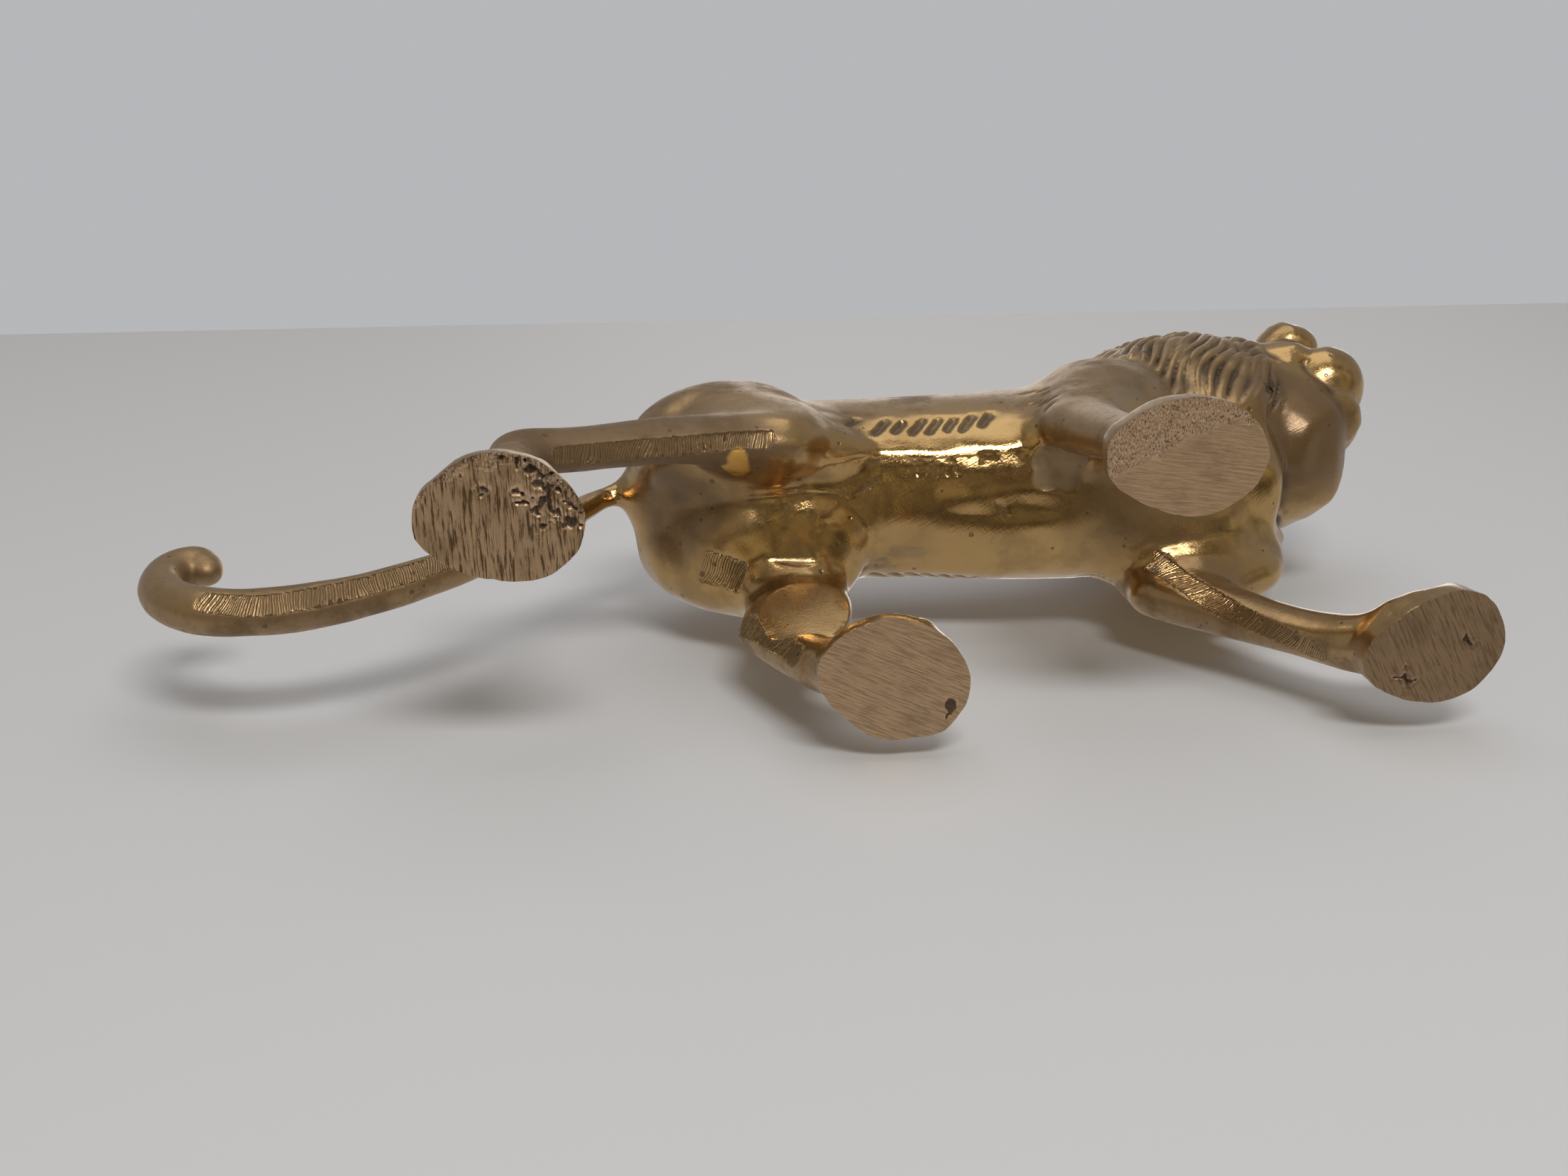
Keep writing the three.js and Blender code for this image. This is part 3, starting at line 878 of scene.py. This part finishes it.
    def browned(self, skin: Skin) -> np.ndarray:
        """How brown and matte age has made each point, from 0 to 1."""
        brown = np.full(len(skin.places), 0.12)
        for middle, size, share in BROWN_ZONES:
            apart = np.linalg.norm((skin.places - middle) / size, axis=1)
            brown = np.maximum(brown, share * (1.0 - smooth_step(apart, 0.55, 1.25)))
        cloudy = 0.6 * lattice(skin.places, 9.0, SEED + 15) + 0.4 * lattice(skin.places, 3.4, SEED + 16)
        return np.clip(brown * (0.55 + 0.9 * cloudy), 0.0, 1.0)

    def thinned(self, piece: bpy.types.Object) -> None:
        """Keeps the small faces where the forms are small.

        Args:
            piece: the carved piece.
        """
        focus(piece)
        bpy.ops.object.mode_set(mode="EDIT")
        bpy.ops.mesh.select_all(action="SELECT")
        bpy.ops.mesh.dissolve_degenerate(threshold=NO_LENGTH)
        bpy.ops.mesh.delete_loose()
        bpy.ops.object.mode_set(mode="OBJECT")
        piece.data.calc_loop_triangles()
        count = len(piece.data.loop_triangles)
        if count > self.most_triangles:
            group = piece.vertex_groups.new(name="kept")
            kept = [vertex.index for vertex in piece.data.vertices if vertex.co.z < 0.0006]
            group.add(kept, 1.0, "REPLACE")
            settings = {"vertex_group": group.name, "invert_vertex_group": True, "vertex_group_factor": 1.0}
            applied(piece, "DECIMATE", ratio=self.most_triangles / count, **settings)

    def made(self) -> bpy.types.Object:
        """Pours, melts, carves and thins the lion.

        Returns:
            The finished piece, without its finish.
        """
        piece = self.poured()
        skin = Skin(piece)
        LOG.info("poured: %d points", len(skin.places))
        self.melted(skin)
        for part in self.flats:
            part.cut(skin)
        for sole in self.soles:
            sole.shape(skin)
        on_mane, between = self.mane.carve(skin)
        missed = np.maximum(self.flanks(skin), between)
        size = len(skin.places)
        filed, run_along, coarse, pitted = (np.zeros(size) for _ in range(4))
        for ridge in self.ridges:
            ridge.carve(skin, skin.normals(), filed, run_along)
        raw = self.rough_patches(skin)
        yellow = self.yellow_flaw(skin)
        below = skin.places[:, 2] < 0.0
        skin.places[below, 2] = 0.0
        for sole in self.soles:
            sole.carve(skin, coarse, pitted)
        # The hollow attribute, with the stroke grooves and the gaps between the mane's locks, sets where the brass
        # gets painted shade and grime.
        skin.keep("hollow", np.maximum(skin.hollows(24, 0.28), 0.7 * missed))
        skin.keep("polish", self.polish(skin) * (1.0 - 0.85 * on_mane) * (1.0 - raw))
        skin.keep("brown", self.browned(skin) * (1.0 - 0.6 * filed))
        names = ("filed", "run", "coarse", "pitted", "raw", "yellow")
        for name, values in zip(names, (filed, run_along, coarse, pitted, raw, yellow)):
            skin.keep(name, values)
        skin.write()
        self.thinned(piece)
        focus(piece)
        bpy.ops.object.shade_smooth_by_angle(angle=math.radians(50.0))
        return piece

    def dress(self, piece: bpy.types.Object, finishes: list) -> None:
        """Puts the finishes on: the first all over, the others on the soles in order.

        Args:
            piece: the finished piece.
            finishes: the brass and one ground finish for each sole.
        """
        for finish in finishes:
            piece.data.materials.append(finish.made())
        mesh = piece.data
        count = len(mesh.polygons)
        middles, normals = np.empty(count * 3, np.float32), np.empty(count * 3, np.float32)
        mesh.polygons.foreach_get("center", middles)
        mesh.polygons.foreach_get("normal", normals)
        middles = middles.reshape(-1, 3) / MM
        flat = (middles[:, 2] < 1.6) & (normals.reshape(-1, 3)[:, 2] < -0.1)
        chosen = np.zeros(count, np.int32)
        for number, sole in enumerate(self.soles, 1):
            near = np.linalg.norm(middles[:, :2] - np.array(sole.centre), axis=1) < sole.radius
            inside = (middles[:, 2] < 0.03) | (normals.reshape(-1, 3)[:, 2] < -0.3)
            chosen[flat & near & inside] = number
        mesh.polygons.foreach_set("material_index", chosen)
        mesh.update()


class Wiring:
    """Short ways to add nodes and to link them."""

    def __init__(self, tree: bpy.types.NodeTree) -> None:
        """Takes the tree that the nodes go in."""
        self.tree = tree

    def add(self, kind: str, inputs: dict | None = None, **settings: object) -> bpy.types.Node:
        """Adds one node.

        Args:
            kind: the node's type.
            inputs: values, or sockets to link, by the input's name or number.
            settings: the node's own values.

        Returns:
            The node.
        """
        node = self.tree.nodes.new(kind)
        for name, value in settings.items():
            setattr(node, name, value)
        for key, value in (inputs or {}).items():
            if isinstance(value, bpy.types.NodeSocket):
                self.tree.links.new(value, node.inputs[key])
            else:
                node.inputs[key].default_value = value
        return node

    def math(self, operation: str, first: object, second: object = 0.0) -> bpy.types.NodeSocket:
        """A sum, product or the like of two values or sockets."""
        return self.add("ShaderNodeMath", {0: first, 1: second}, operation=operation).outputs[0]

    def ramp(self, value: bpy.types.NodeSocket, low: float, high: float, start: float = 0.0, end: float = 1.0):
        """Maps a value from low..high to start..end, smoothly and with limits."""
        ends = {"Value": value, "From Min": low, "From Max": high, "To Min": start, "To Max": end}
        return self.add("ShaderNodeMapRange", ends, interpolation_type="SMOOTHSTEP").outputs["Result"]

    def mixed(self, first: object, second: object, factor: object) -> bpy.types.NodeSocket:
        """Mixes two colours."""
        node = self.add("ShaderNodeMix", data_type="RGBA")
        for socket, value in ((node.inputs[6], first), (node.inputs[7], second), (node.inputs[0], factor)):
            if isinstance(value, bpy.types.NodeSocket):
                self.tree.links.new(value, socket)
            else:
                socket.default_value = value
        return node.outputs[2]

    def attribute(self, name: str) -> bpy.types.NodeSocket:
        """The value of a named attribute of the mesh."""
        return self.add("ShaderNodeAttribute", attribute_name=name).outputs["Fac"]


def node_group(name: str, inputs: dict[str, float], outputs: tuple[str, ...]) -> tuple:
    """Starts a node group with number sockets, on object coordinates.

    Args:
        name: the group's name.
        inputs: names and first values of its inputs.
        outputs: names of its outputs.

    Returns:
        The group, its wiring, its input node and its output node.
    """
    group = bpy.data.node_groups.new(name, "ShaderNodeTree")
    for key, value in inputs.items():
        group.interface.new_socket(key, in_out="INPUT", socket_type="NodeSocketFloat").default_value = value
    for key in outputs:
        group.interface.new_socket(key, in_out="OUTPUT", socket_type="NodeSocketFloat")
    wiring = Wiring(group)
    return group, wiring, wiring.add("NodeGroupInput"), wiring.add("NodeGroupOutput")


def tarnish_group() -> bpy.types.NodeTree:
    """Clouds of tarnish with ragged edges, and the fine mottling inside them."""
    group, wiring, given, result = node_group("tarnish_clouds", {"Scale": 60.0, "Share": 0.5}, ("Mask", "Mottle"))
    place = wiring.add("ShaderNodeTexCoord").outputs["Object"]
    large = {"Vector": place, "Scale": given.outputs["Scale"], "Detail": 6.0, "Roughness": 0.62}
    cloud = wiring.add("ShaderNodeTexNoise", large).outputs["Fac"]
    edge = wiring.math("SUBTRACT", 1.0, given.outputs["Share"])
    mask = wiring.ramp(wiring.math("SUBTRACT", cloud, edge), -0.07, 0.12)
    fine = {"Vector": place, "Scale": 700.0, "Detail": 4.0, "Roughness": 0.7}
    group.links.new(mask, result.inputs["Mask"])
    group.links.new(wiring.add("ShaderNodeTexNoise", fine).outputs["Fac"], result.inputs["Mottle"])
    return group


def scratch_group() -> bpy.types.NodeTree:
    """Fine scratches along one direction of the XY plane.

    Turn is the direction in radians, Long and Fine are changes per metre along and across.
    """
    sizes = {"Turn": 0.0, "Long": 120.0, "Fine": 2500.0}
    group, wiring, given, result = node_group("scratches", sizes, ("Lines", "Streaks"))
    place = wiring.add("ShaderNodeTexCoord").outputs["Object"]
    turned = {"Vector": place, "Angle": given.outputs["Turn"]}
    turned = wiring.add("ShaderNodeVectorRotate", turned, rotation_type="Z_AXIS").outputs["Vector"]
    stretch = wiring.add("ShaderNodeCombineXYZ")
    for axis, size in enumerate(("Long", "Fine", "Fine")):
        group.links.new(given.outputs[size], stretch.inputs[axis])
    wide = wiring.add("ShaderNodeVectorMath", {0: turned, 1: stretch.outputs[0]}, operation="MULTIPLY")
    lines = {"Vector": wide.outputs[0], "Scale": 1.0, "Detail": 2.0, "Roughness": 0.6}
    streaks = {"Vector": wide.outputs[0], "Scale": 0.75, "Detail": 4.0, "Roughness": 0.65}
    group.links.new(wiring.add("ShaderNodeTexNoise", lines).outputs["Fac"], result.inputs["Lines"])
    group.links.new(wiring.add("ShaderNodeTexNoise", streaks).outputs["Fac"], result.inputs["Streaks"])
    return group


def pore_group() -> bpy.types.NodeTree:
    """Scattered casting pores of different sizes."""
    group, wiring, given, result = node_group("casting_pores", {"Scale": 420.0, "Share": 0.16}, ("Mask",))
    place = wiring.add("ShaderNodeTexCoord").outputs["Object"]
    cells = wiring.add("ShaderNodeTexVoronoi", {"Vector": place, "Scale": given.outputs["Scale"]})
    apart = wiring.add("ShaderNodeSeparateColor", {0: cells.outputs["Color"]})
    picked = wiring.math("LESS_THAN", apart.outputs[0], given.outputs["Share"])
    size = wiring.math("MULTIPLY_ADD", apart.outputs[1], 0.22)
    size.node.inputs[2].default_value = 0.1
    inside = wiring.math("SUBTRACT", size, cells.outputs["Distance"])
    group.links.new(wiring.math("MULTIPLY", wiring.ramp(inside, 0.0, 0.08), picked), result.inputs["Mask"])
    return group


def shared_group(name: str) -> bpy.types.NodeTree:
    """One of the node groups that several finishes use, made when it is first asked for."""
    makers = {"tarnish_clouds": tarnish_group, "scratches": scratch_group, "casting_pores": pore_group}
    return bpy.data.node_groups.get(name) or makers[name]()


@dataclass(frozen=True)
class PolishedBrass:
    """Old polished brass: bright where it is rubbed, brown where age browned it, darkened with painted shade and
    grime in its hollows and pores.
    """

    name: str = "polished_brass"
    bright: Triple = (0.58, 0.375, 0.155)
    worn: Triple = (0.43, 0.27, 0.115)
    matte: Triple = (0.41, 0.285, 0.165)
    tarnish: Triple = (0.20, 0.13, 0.07)
    # Dark tone for painted shade, with grime, in the hollows and pores.
    shade_and_grime_tone: Triple = (0.085, 0.06, 0.038)
    raw: Triple = (0.35, 0.24, 0.13)
    brown: Triple = (0.15, 0.09, 0.043)
    yellow: Triple = (0.72, 0.42, 0.10)
    polished_roughness: float = 0.12
    matte_roughness: float = 0.38
    pore_depth: float = 0.12
    scratch_depth: float = 0.035

    def made(self) -> bpy.types.Material:
        """Builds the material.

        Returns:
            The material, ready to be put on the casting.
        """
        material = bpy.data.materials.new(self.name)
        material.use_nodes = True
        wiring = Wiring(material.node_tree)
        shader = material.node_tree.nodes["Principled BSDF"]
        shader.inputs["Metallic"].default_value = 1.0
        polish, hollow = wiring.attribute("polish"), wiring.attribute("hollow")
        filed, raw = wiring.attribute("filed"), wiring.attribute("raw")
        clouds = wiring.add("ShaderNodeGroup", node_tree=shared_group("tarnish_clouds"))
        clouds.inputs["Scale"].default_value = 75.0
        clouds.inputs["Share"].default_value = 0.47
        broad = wiring.add("ShaderNodeGroup", node_tree=shared_group("tarnish_clouds"))
        broad.inputs["Scale"].default_value = 24.0
        broad.inputs["Share"].default_value = 0.5
        pores = wiring.add("ShaderNodeGroup", node_tree=shared_group("casting_pores"))
        lines = wiring.add("ShaderNodeGroup", node_tree=shared_group("scratches"))
        lines.inputs["Turn"].default_value = 0.5
        cross = wiring.add("ShaderNodeGroup", node_tree=shared_group("scratches"))
        cross.inputs["Turn"].default_value = -0.9
        dull_share = wiring.math("SUBTRACT", 1.0, polish)
        tone = wiring.mixed((*self.bright, 1.0), (*self.worn, 1.0), broad.outputs["Mask"])
        tone = wiring.mixed(tone, (*self.matte, 1.0), wiring.math("MULTIPLY", dull_share, 0.75))
        cloud = wiring.math("MULTIPLY", clouds.outputs["Mask"], wiring.math("MULTIPLY_ADD", dull_share, 0.42))
        cloud.node.inputs[2].default_value = 0.0
        tone = wiring.mixed(tone, (*self.tarnish, 1.0), wiring.math("MULTIPLY", cloud, 0.7))
        mottle = wiring.ramp(clouds.outputs["Mottle"], 0.5, 0.75, 0.0, 0.4)
        tone = wiring.mixed(tone, (*self.tarnish, 1.0), wiring.math("MULTIPLY", mottle, dull_share))
        brown = wiring.attribute("brown")
        tone = wiring.mixed(tone, (*self.brown, 1.0), wiring.math("MULTIPLY", brown, 0.85))
        tone = wiring.mixed(tone, (*self.raw, 1.0), wiring.math("MULTIPLY", raw, 0.9))
        tone = wiring.mixed(tone, (*self.yellow, 1.0), wiring.attribute("yellow"))
        chatter = wiring.math("SINE", wiring.math("MULTIPLY", wiring.attribute("run"), 11.0))
        gaps = wiring.math("MULTIPLY", wiring.ramp(chatter, 0.3, -0.9), filed)
        tone = wiring.mixed(tone, (*self.tarnish, 1.0), wiring.math("MULTIPLY", gaps, 0.95))
        # Painted shade, with grime, in the hollows, stroke grooves and gaps between the mane's locks, less of it on
        # raw patches: it darkens the colour, lowers the metal and roughens it.
        shade_and_grime_share = wiring.math("MULTIPLY_ADD", raw, -0.6)
        shade_and_grime_share.node.inputs[2].default_value = 0.88
        shade_and_grime = wiring.math("MULTIPLY", wiring.ramp(hollow, 0.12, 0.95), shade_and_grime_share)
        tone = wiring.mixed(tone, (*self.shade_and_grime_tone, 1.0), shade_and_grime)
        # Casting pores: painted shade with grime.
        tone = wiring.mixed(tone, (*self.shade_and_grime_tone, 1.0), wiring.math("MULTIPLY", pores.outputs["Mask"], 0.6))
        material.node_tree.links.new(tone, shader.inputs["Base Color"])
        skin = wiring.math("MAXIMUM", wiring.math("MULTIPLY", brown, 0.55), wiring.math("MULTIPLY", raw, 0.8))
        skin = wiring.math("MAXIMUM", skin, wiring.math("MULTIPLY", shade_and_grime, 0.6))
        material.node_tree.links.new(wiring.math("SUBTRACT", 1.0, skin), shader.inputs["Metallic"])
        rough = wiring.ramp(polish, 0.05, 0.9, self.matte_roughness, self.polished_roughness)
        rough = wiring.math("ADD", rough, wiring.math("MULTIPLY", brown, 0.16))
        grime = wiring.math("MULTIPLY", wiring.math("MAXIMUM", shade_and_grime, cloud), 0.22)
        rough = wiring.math("ADD", rough, grime)
        rough = wiring.math("ADD", rough, wiring.math("MULTIPLY", raw, 0.18))
        rough = wiring.math("ADD", rough, wiring.ramp(broad.outputs["Mottle"], 0.35, 0.7, -0.03, 0.05))
        material.node_tree.links.new(rough, shader.inputs["Roughness"])
        height = wiring.math("MULTIPLY", wiring.math("MULTIPLY", chatter, filed), 0.06)
        both = wiring.math("ADD", lines.outputs["Lines"], cross.outputs["Lines"])
        height = wiring.math("ADD", height, wiring.math("MULTIPLY", both, self.scratch_depth))
        height = wiring.math("SUBTRACT", height, wiring.math("MULTIPLY", pores.outputs["Mask"], self.pore_depth))
        height = wiring.math("ADD", height, wiring.math("MULTIPLY", clouds.outputs["Mottle"], 0.03))
        bump = {"Height": height, "Distance": MM, "Strength": 0.8}
        normal = wiring.add("ShaderNodeBump", bump).outputs["Normal"]
        material.node_tree.links.new(normal, shader.inputs["Normal"])
        return material


@dataclass(frozen=True)
class GroundSole:
    """Brass ground flat with a coarse file: pinkish, with streaks along the file's way.

    Turn is the streaks' direction from the X axis in degrees.
    """

    name: str
    turn: float
    streak: float = 0.5
    roughness: float = 0.36
    tint: Triple = (0.72, 0.50, 0.32)
    shade: Triple = (0.36, 0.235, 0.135)
    # Dark tone for painted shade, with grime, in the grain's dips and in the pits.
    shade_and_grime: Triple = (0.085, 0.065, 0.052)
    glint: Triple = (0.95, 0.74, 0.50)
    depth: float = 0.09

    def made(self) -> bpy.types.Material:
        """Builds the material.

        Returns:
            The material, ready to be put on one sole.
        """
        material = bpy.data.materials.new(self.name)
        material.use_nodes = True
        wiring = Wiring(material.node_tree)
        shader = material.node_tree.nodes["Principled BSDF"]
        shader.inputs["Metallic"].default_value = 1.0
        coarse, pitted = wiring.attribute("coarse"), wiring.attribute("pitted")
        lines = wiring.add("ShaderNodeGroup", node_tree=shared_group("scratches"))
        lines.inputs["Turn"].default_value = math.radians(-self.turn)
        lines.inputs["Long"].default_value = 210.0
        lines.inputs["Fine"].default_value = 2300.0
        clouds = wiring.add("ShaderNodeGroup", node_tree=shared_group("tarnish_clouds"))
        clouds.inputs["Scale"].default_value = 110.0
        clouds.inputs["Share"].default_value = 0.45
        place = wiring.add("ShaderNodeTexCoord").outputs["Object"]
        longer = wiring.add("ShaderNodeVectorMath", {0: place, 1: (1.0, 0.5, 1.0)}, operation="MULTIPLY").outputs[0]
        grain = {"Vector": longer, "Scale": 3400.0, "Detail": 4.0, "Roughness": 0.7}
        grain = wiring.add("ShaderNodeTexNoise", grain).outputs["Fac"]
        dark = wiring.ramp(lines.outputs["Streaks"], 0.48, 0.6, 0.0, self.streak)
        tone = wiring.mixed((*self.tint, 1.0), (*self.shade, 1.0), dark)
        cloud = wiring.math("MULTIPLY", clouds.outputs["Mask"], 0.35)
        tone = wiring.mixed(tone, (*self.shade, 1.0), cloud)
        # Where the file missed, the grain gets painted highlights on its tops and painted shade in its dips.
        tone = wiring.mixed(tone, (*self.glint, 1.0), wiring.math("MULTIPLY", wiring.ramp(grain, 0.5, 0.64), coarse))
        grain_shade = wiring.math("MULTIPLY", wiring.ramp(grain, 0.48, 0.36), coarse)
        tone = wiring.mixed(tone, (*self.shade_and_grime, 1.0), wiring.math("MULTIPLY", grain_shade, 0.9))
        # Pits get painted shade with grime and crust.
        tone = wiring.mixed(tone, (*self.shade_and_grime, 1.0), wiring.ramp(pitted, 0.15, 0.8, 0.0, 0.85))
        material.node_tree.links.new(tone, shader.inputs["Base Color"])
        rough = wiring.ramp(lines.outputs["Lines"], 0.3, 0.7, self.roughness - 0.08, self.roughness + 0.1)
        material.node_tree.links.new(wiring.math("ADD", rough, wiring.math("MULTIPLY", pitted, 0.3)), shader.inputs["Roughness"])
        height = wiring.math("MULTIPLY", lines.outputs["Streaks"], -1.5)
        height = wiring.math("ADD", height, lines.outputs["Lines"])
        height = wiring.math("MULTIPLY", height, self.depth)
        height = wiring.math("ADD", height, wiring.math("MULTIPLY", wiring.math("MULTIPLY", grain, coarse), 0.9))
        bump = {"Height": height, "Distance": MM, "Strength": 0.9}
        normal = wiring.add("ShaderNodeBump", bump).outputs["Normal"]
        material.node_tree.links.new(normal, shader.inputs["Normal"])
        return material


@dataclass
class Studio:
    """Pale floor, pale table behind the lion's left side, soft lights and the photograph's camera."""

    camera_place: Triple = (-45.8, -112.6, -306.3)
    camera_right: Triple = (0.9945, 0.0, -0.1045)
    camera_up: Triple = (0.0358, -0.9397, 0.3401)
    lens: float = 39.06
    table_gap: float = 0.3
    pale: Triple = (0.66, 0.66, 0.665)
    backdrop: Triple = (0.47, 0.475, 0.49)
    table: Triple = (0.47, 0.46, 0.455)
    wall: Triple = (0.30, 0.30, 0.315)
    table_edge: float = 0.36
    room_dark: Triple = (0.06, 0.046, 0.028)
    room_light: Triple = (0.46, 0.41, 0.29)

    def camera(self) -> None:
        """Sets up the camera where the photograph was taken."""
        data = bpy.data.cameras.new("camera")
        data.lens = self.lens
        data.sensor_width = 36.0
        data.clip_start, data.clip_end = 0.01, 20.0
        camera = bpy.data.objects.new("camera", data)
        bpy.context.scene.collection.objects.link(camera)
        right, up = Vector(self.camera_right).normalized(), Vector(self.camera_up).normalized()
        turned = Matrix((right, up, right.cross(up))).transposed().to_4x4()
        camera.matrix_world = Matrix.Translation(Vector(self.camera_place) * MM) @ turned
        bpy.context.scene.camera = camera

    def paint(self) -> bpy.types.Material:
        """Pale paint that is clear from behind, so that a plane never hides the lion."""
        material = bpy.data.materials.new("pale_paint")
        material.use_nodes = True
        nodes, links = material.node_tree.nodes, material.node_tree.links
        shader = nodes["Principled BSDF"]
        shader.inputs["Base Color"].default_value = (*self.pale, 1.0)
        shader.inputs["Roughness"].default_value = 0.6
        geometry = nodes.new("ShaderNodeNewGeometry")
        clear = nodes.new("ShaderNodeBsdfTransparent")
        mix = nodes.new("ShaderNodeMixShader")
        links.new(geometry.outputs["Backfacing"], mix.inputs["Fac"])
        links.new(shader.outputs["BSDF"], mix.inputs[1])
        links.new(clear.outputs["BSDF"], mix.inputs[2])
        links.new(mix.outputs["Shader"], nodes["Material Output"].inputs["Surface"])
        return material

    def plane(self, name: str, place: Triple, turn: Triple, size: float) -> bpy.types.Object:
        """Adds one pale plane.

        Args:
            name: the plane's name.
            place: its middle, in metres.
            turn: its rotation, in radians, from facing up.
            size: its width, in metres.

        Returns:
            The plane.
        """
        deselect()
        bpy.ops.mesh.primitive_plane_add(size=size, location=place, rotation=turn)
        plane = bpy.context.active_object
        plane.name = name
        plane.visible_shadow = False
        plane.visible_glossy = False
        return plane

    def stage(self) -> None:
        """Adds the floor and the table that the lion lies on in the photograph."""
        paint = self.paint()
        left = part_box("lion")[1].y + self.table_gap * MM
        table = self.plane("table", (0.0, left, -1.0 + 0.46), (math.radians(90.0), 0.0, 0.0), 2.0)
        floor = self.plane("floor", (0.0, 0.0, -0.0004), (0.0, 0.0, 0.0), 4.0)
        floor.visible_diffuse = False
        for plane in (table, floor):
            plane.data.materials.append(paint)

    def light(
        self, name: str, aim: Triple, distance: float, size: tuple[float, float], power: float, mirrored: bool = True
    ) -> None:
        """Adds a soft rectangular light that faces the lion.

        Args:
            name: the light's name.
            aim: direction from the lion to the light.
            distance: how far away it is, in metres.
            size: its width and height, in metres.
            power: its power, in watts.
            mirrored: whether the brass shows it.
        """
        data = bpy.data.lights.new(name, "AREA")
        data.shape = "RECTANGLE"
        data.size, data.size_y = size
        data.energy = power
        light = bpy.data.objects.new(name, data)
        bpy.context.scene.collection.objects.link(light)
        away = Vector(aim).normalized()
        light.location = Vector((0.0, 0.0, 0.066)) + away * distance
        light.rotation_mode = "QUATERNION"
        light.rotation_quaternion = away.to_track_quat("Z", "X")
        light.visible_glossy = mirrored

    def lights(self) -> None:
        """Adds the window, the ceiling's light and soft fills for the other sides."""
        self.light("window", (0.1, -0.8, -0.59), 1.2, (0.22, 0.5), 6.2)
        self.light("ceiling", (0.0, -1.0, 0.25), 1.3, (1.2, 1.2), 3.9)
        self.light("top", (0.2, 0.1, 1.0), 1.4, (1.0, 1.0), 3.9)
        self.light("left", (-0.2, 1.0, 0.35), 1.4, (0.9, 0.9), 3.9, mirrored=False)

    def world(self) -> None:
        """Surroundings of the photograph: the pale table, a pale wall and a dim room behind the camera."""
        world = bpy.data.worlds.new("surroundings")
        bpy.context.scene.world = world
        world.use_nodes = True
        wiring = Wiring(world.node_tree)
        aim = wiring.add("ShaderNodeTexCoord").outputs["Generated"]
        parts = wiring.add("ShaderNodeSeparateXYZ", {0: aim})
        patches = {"Vector": aim, "Scale": 3.2, "Detail": 3.0, "Roughness": 0.55, "Distortion": 0.6}
        patches = wiring.add("ShaderNodeTexNoise", patches).outputs["Fac"]
        room = wiring.mixed((*self.room_dark, 1.0), (*self.room_light, 1.0), wiring.ramp(patches, 0.44, 0.6))
        wall = wiring.mixed((*self.wall, 1.0), room, wiring.ramp(parts.outputs["Z"], 0.1, -0.45))
        near_edge = wiring.ramp(parts.outputs["Z"], -0.35, -0.95, 0.0, self.table_edge)
        table_share = wiring.ramp(wiring.math("SUBTRACT", parts.outputs["Y"], near_edge), -0.05, 0.12)
        tone = wiring.mixed(wall, (*self.table, 1.0), table_share)
        path = wiring.add("ShaderNodeLightPath").outputs["Is Camera Ray"]
        tone = wiring.mixed(tone, (*self.backdrop, 1.0), path)
        world.node_tree.links.new(tone, world.node_tree.nodes["Background"].inputs["Color"])
        bpy.context.scene.view_settings.view_transform = "Standard"


def main() -> None:
    """Builds the studio and the lion."""
    logging.basicConfig(level=logging.INFO, format="%(message)s")
    studio = Studio()
    studio.camera()
    studio.stage()
    studio.lights()
    studio.world()
    casting = Casting()
    piece = casting.made()
    finishes = [
        PolishedBrass(),
        GroundSole("ground_hind_right", 88.0, streak=1.0, roughness=0.34, shade=(0.2, 0.125, 0.065)),
        GroundSole("ground_hind_left", 24.0, streak=0.5, roughness=0.4),
        GroundSole("ground_fore_right", 8.0, streak=0.3, roughness=0.42),
        GroundSole("ground_fore_left", 62.0, streak=0.7, roughness=0.4, tint=(0.45, 0.31, 0.19), shade=(0.24, 0.155, 0.09)),
    ]
    casting.dress(piece, finishes)
    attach(piece, "root")
    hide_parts("lion")
    LOG.info("%s: %d faces", piece.name, len(piece.data.polygons))


if __name__ == "__main__":
    main()
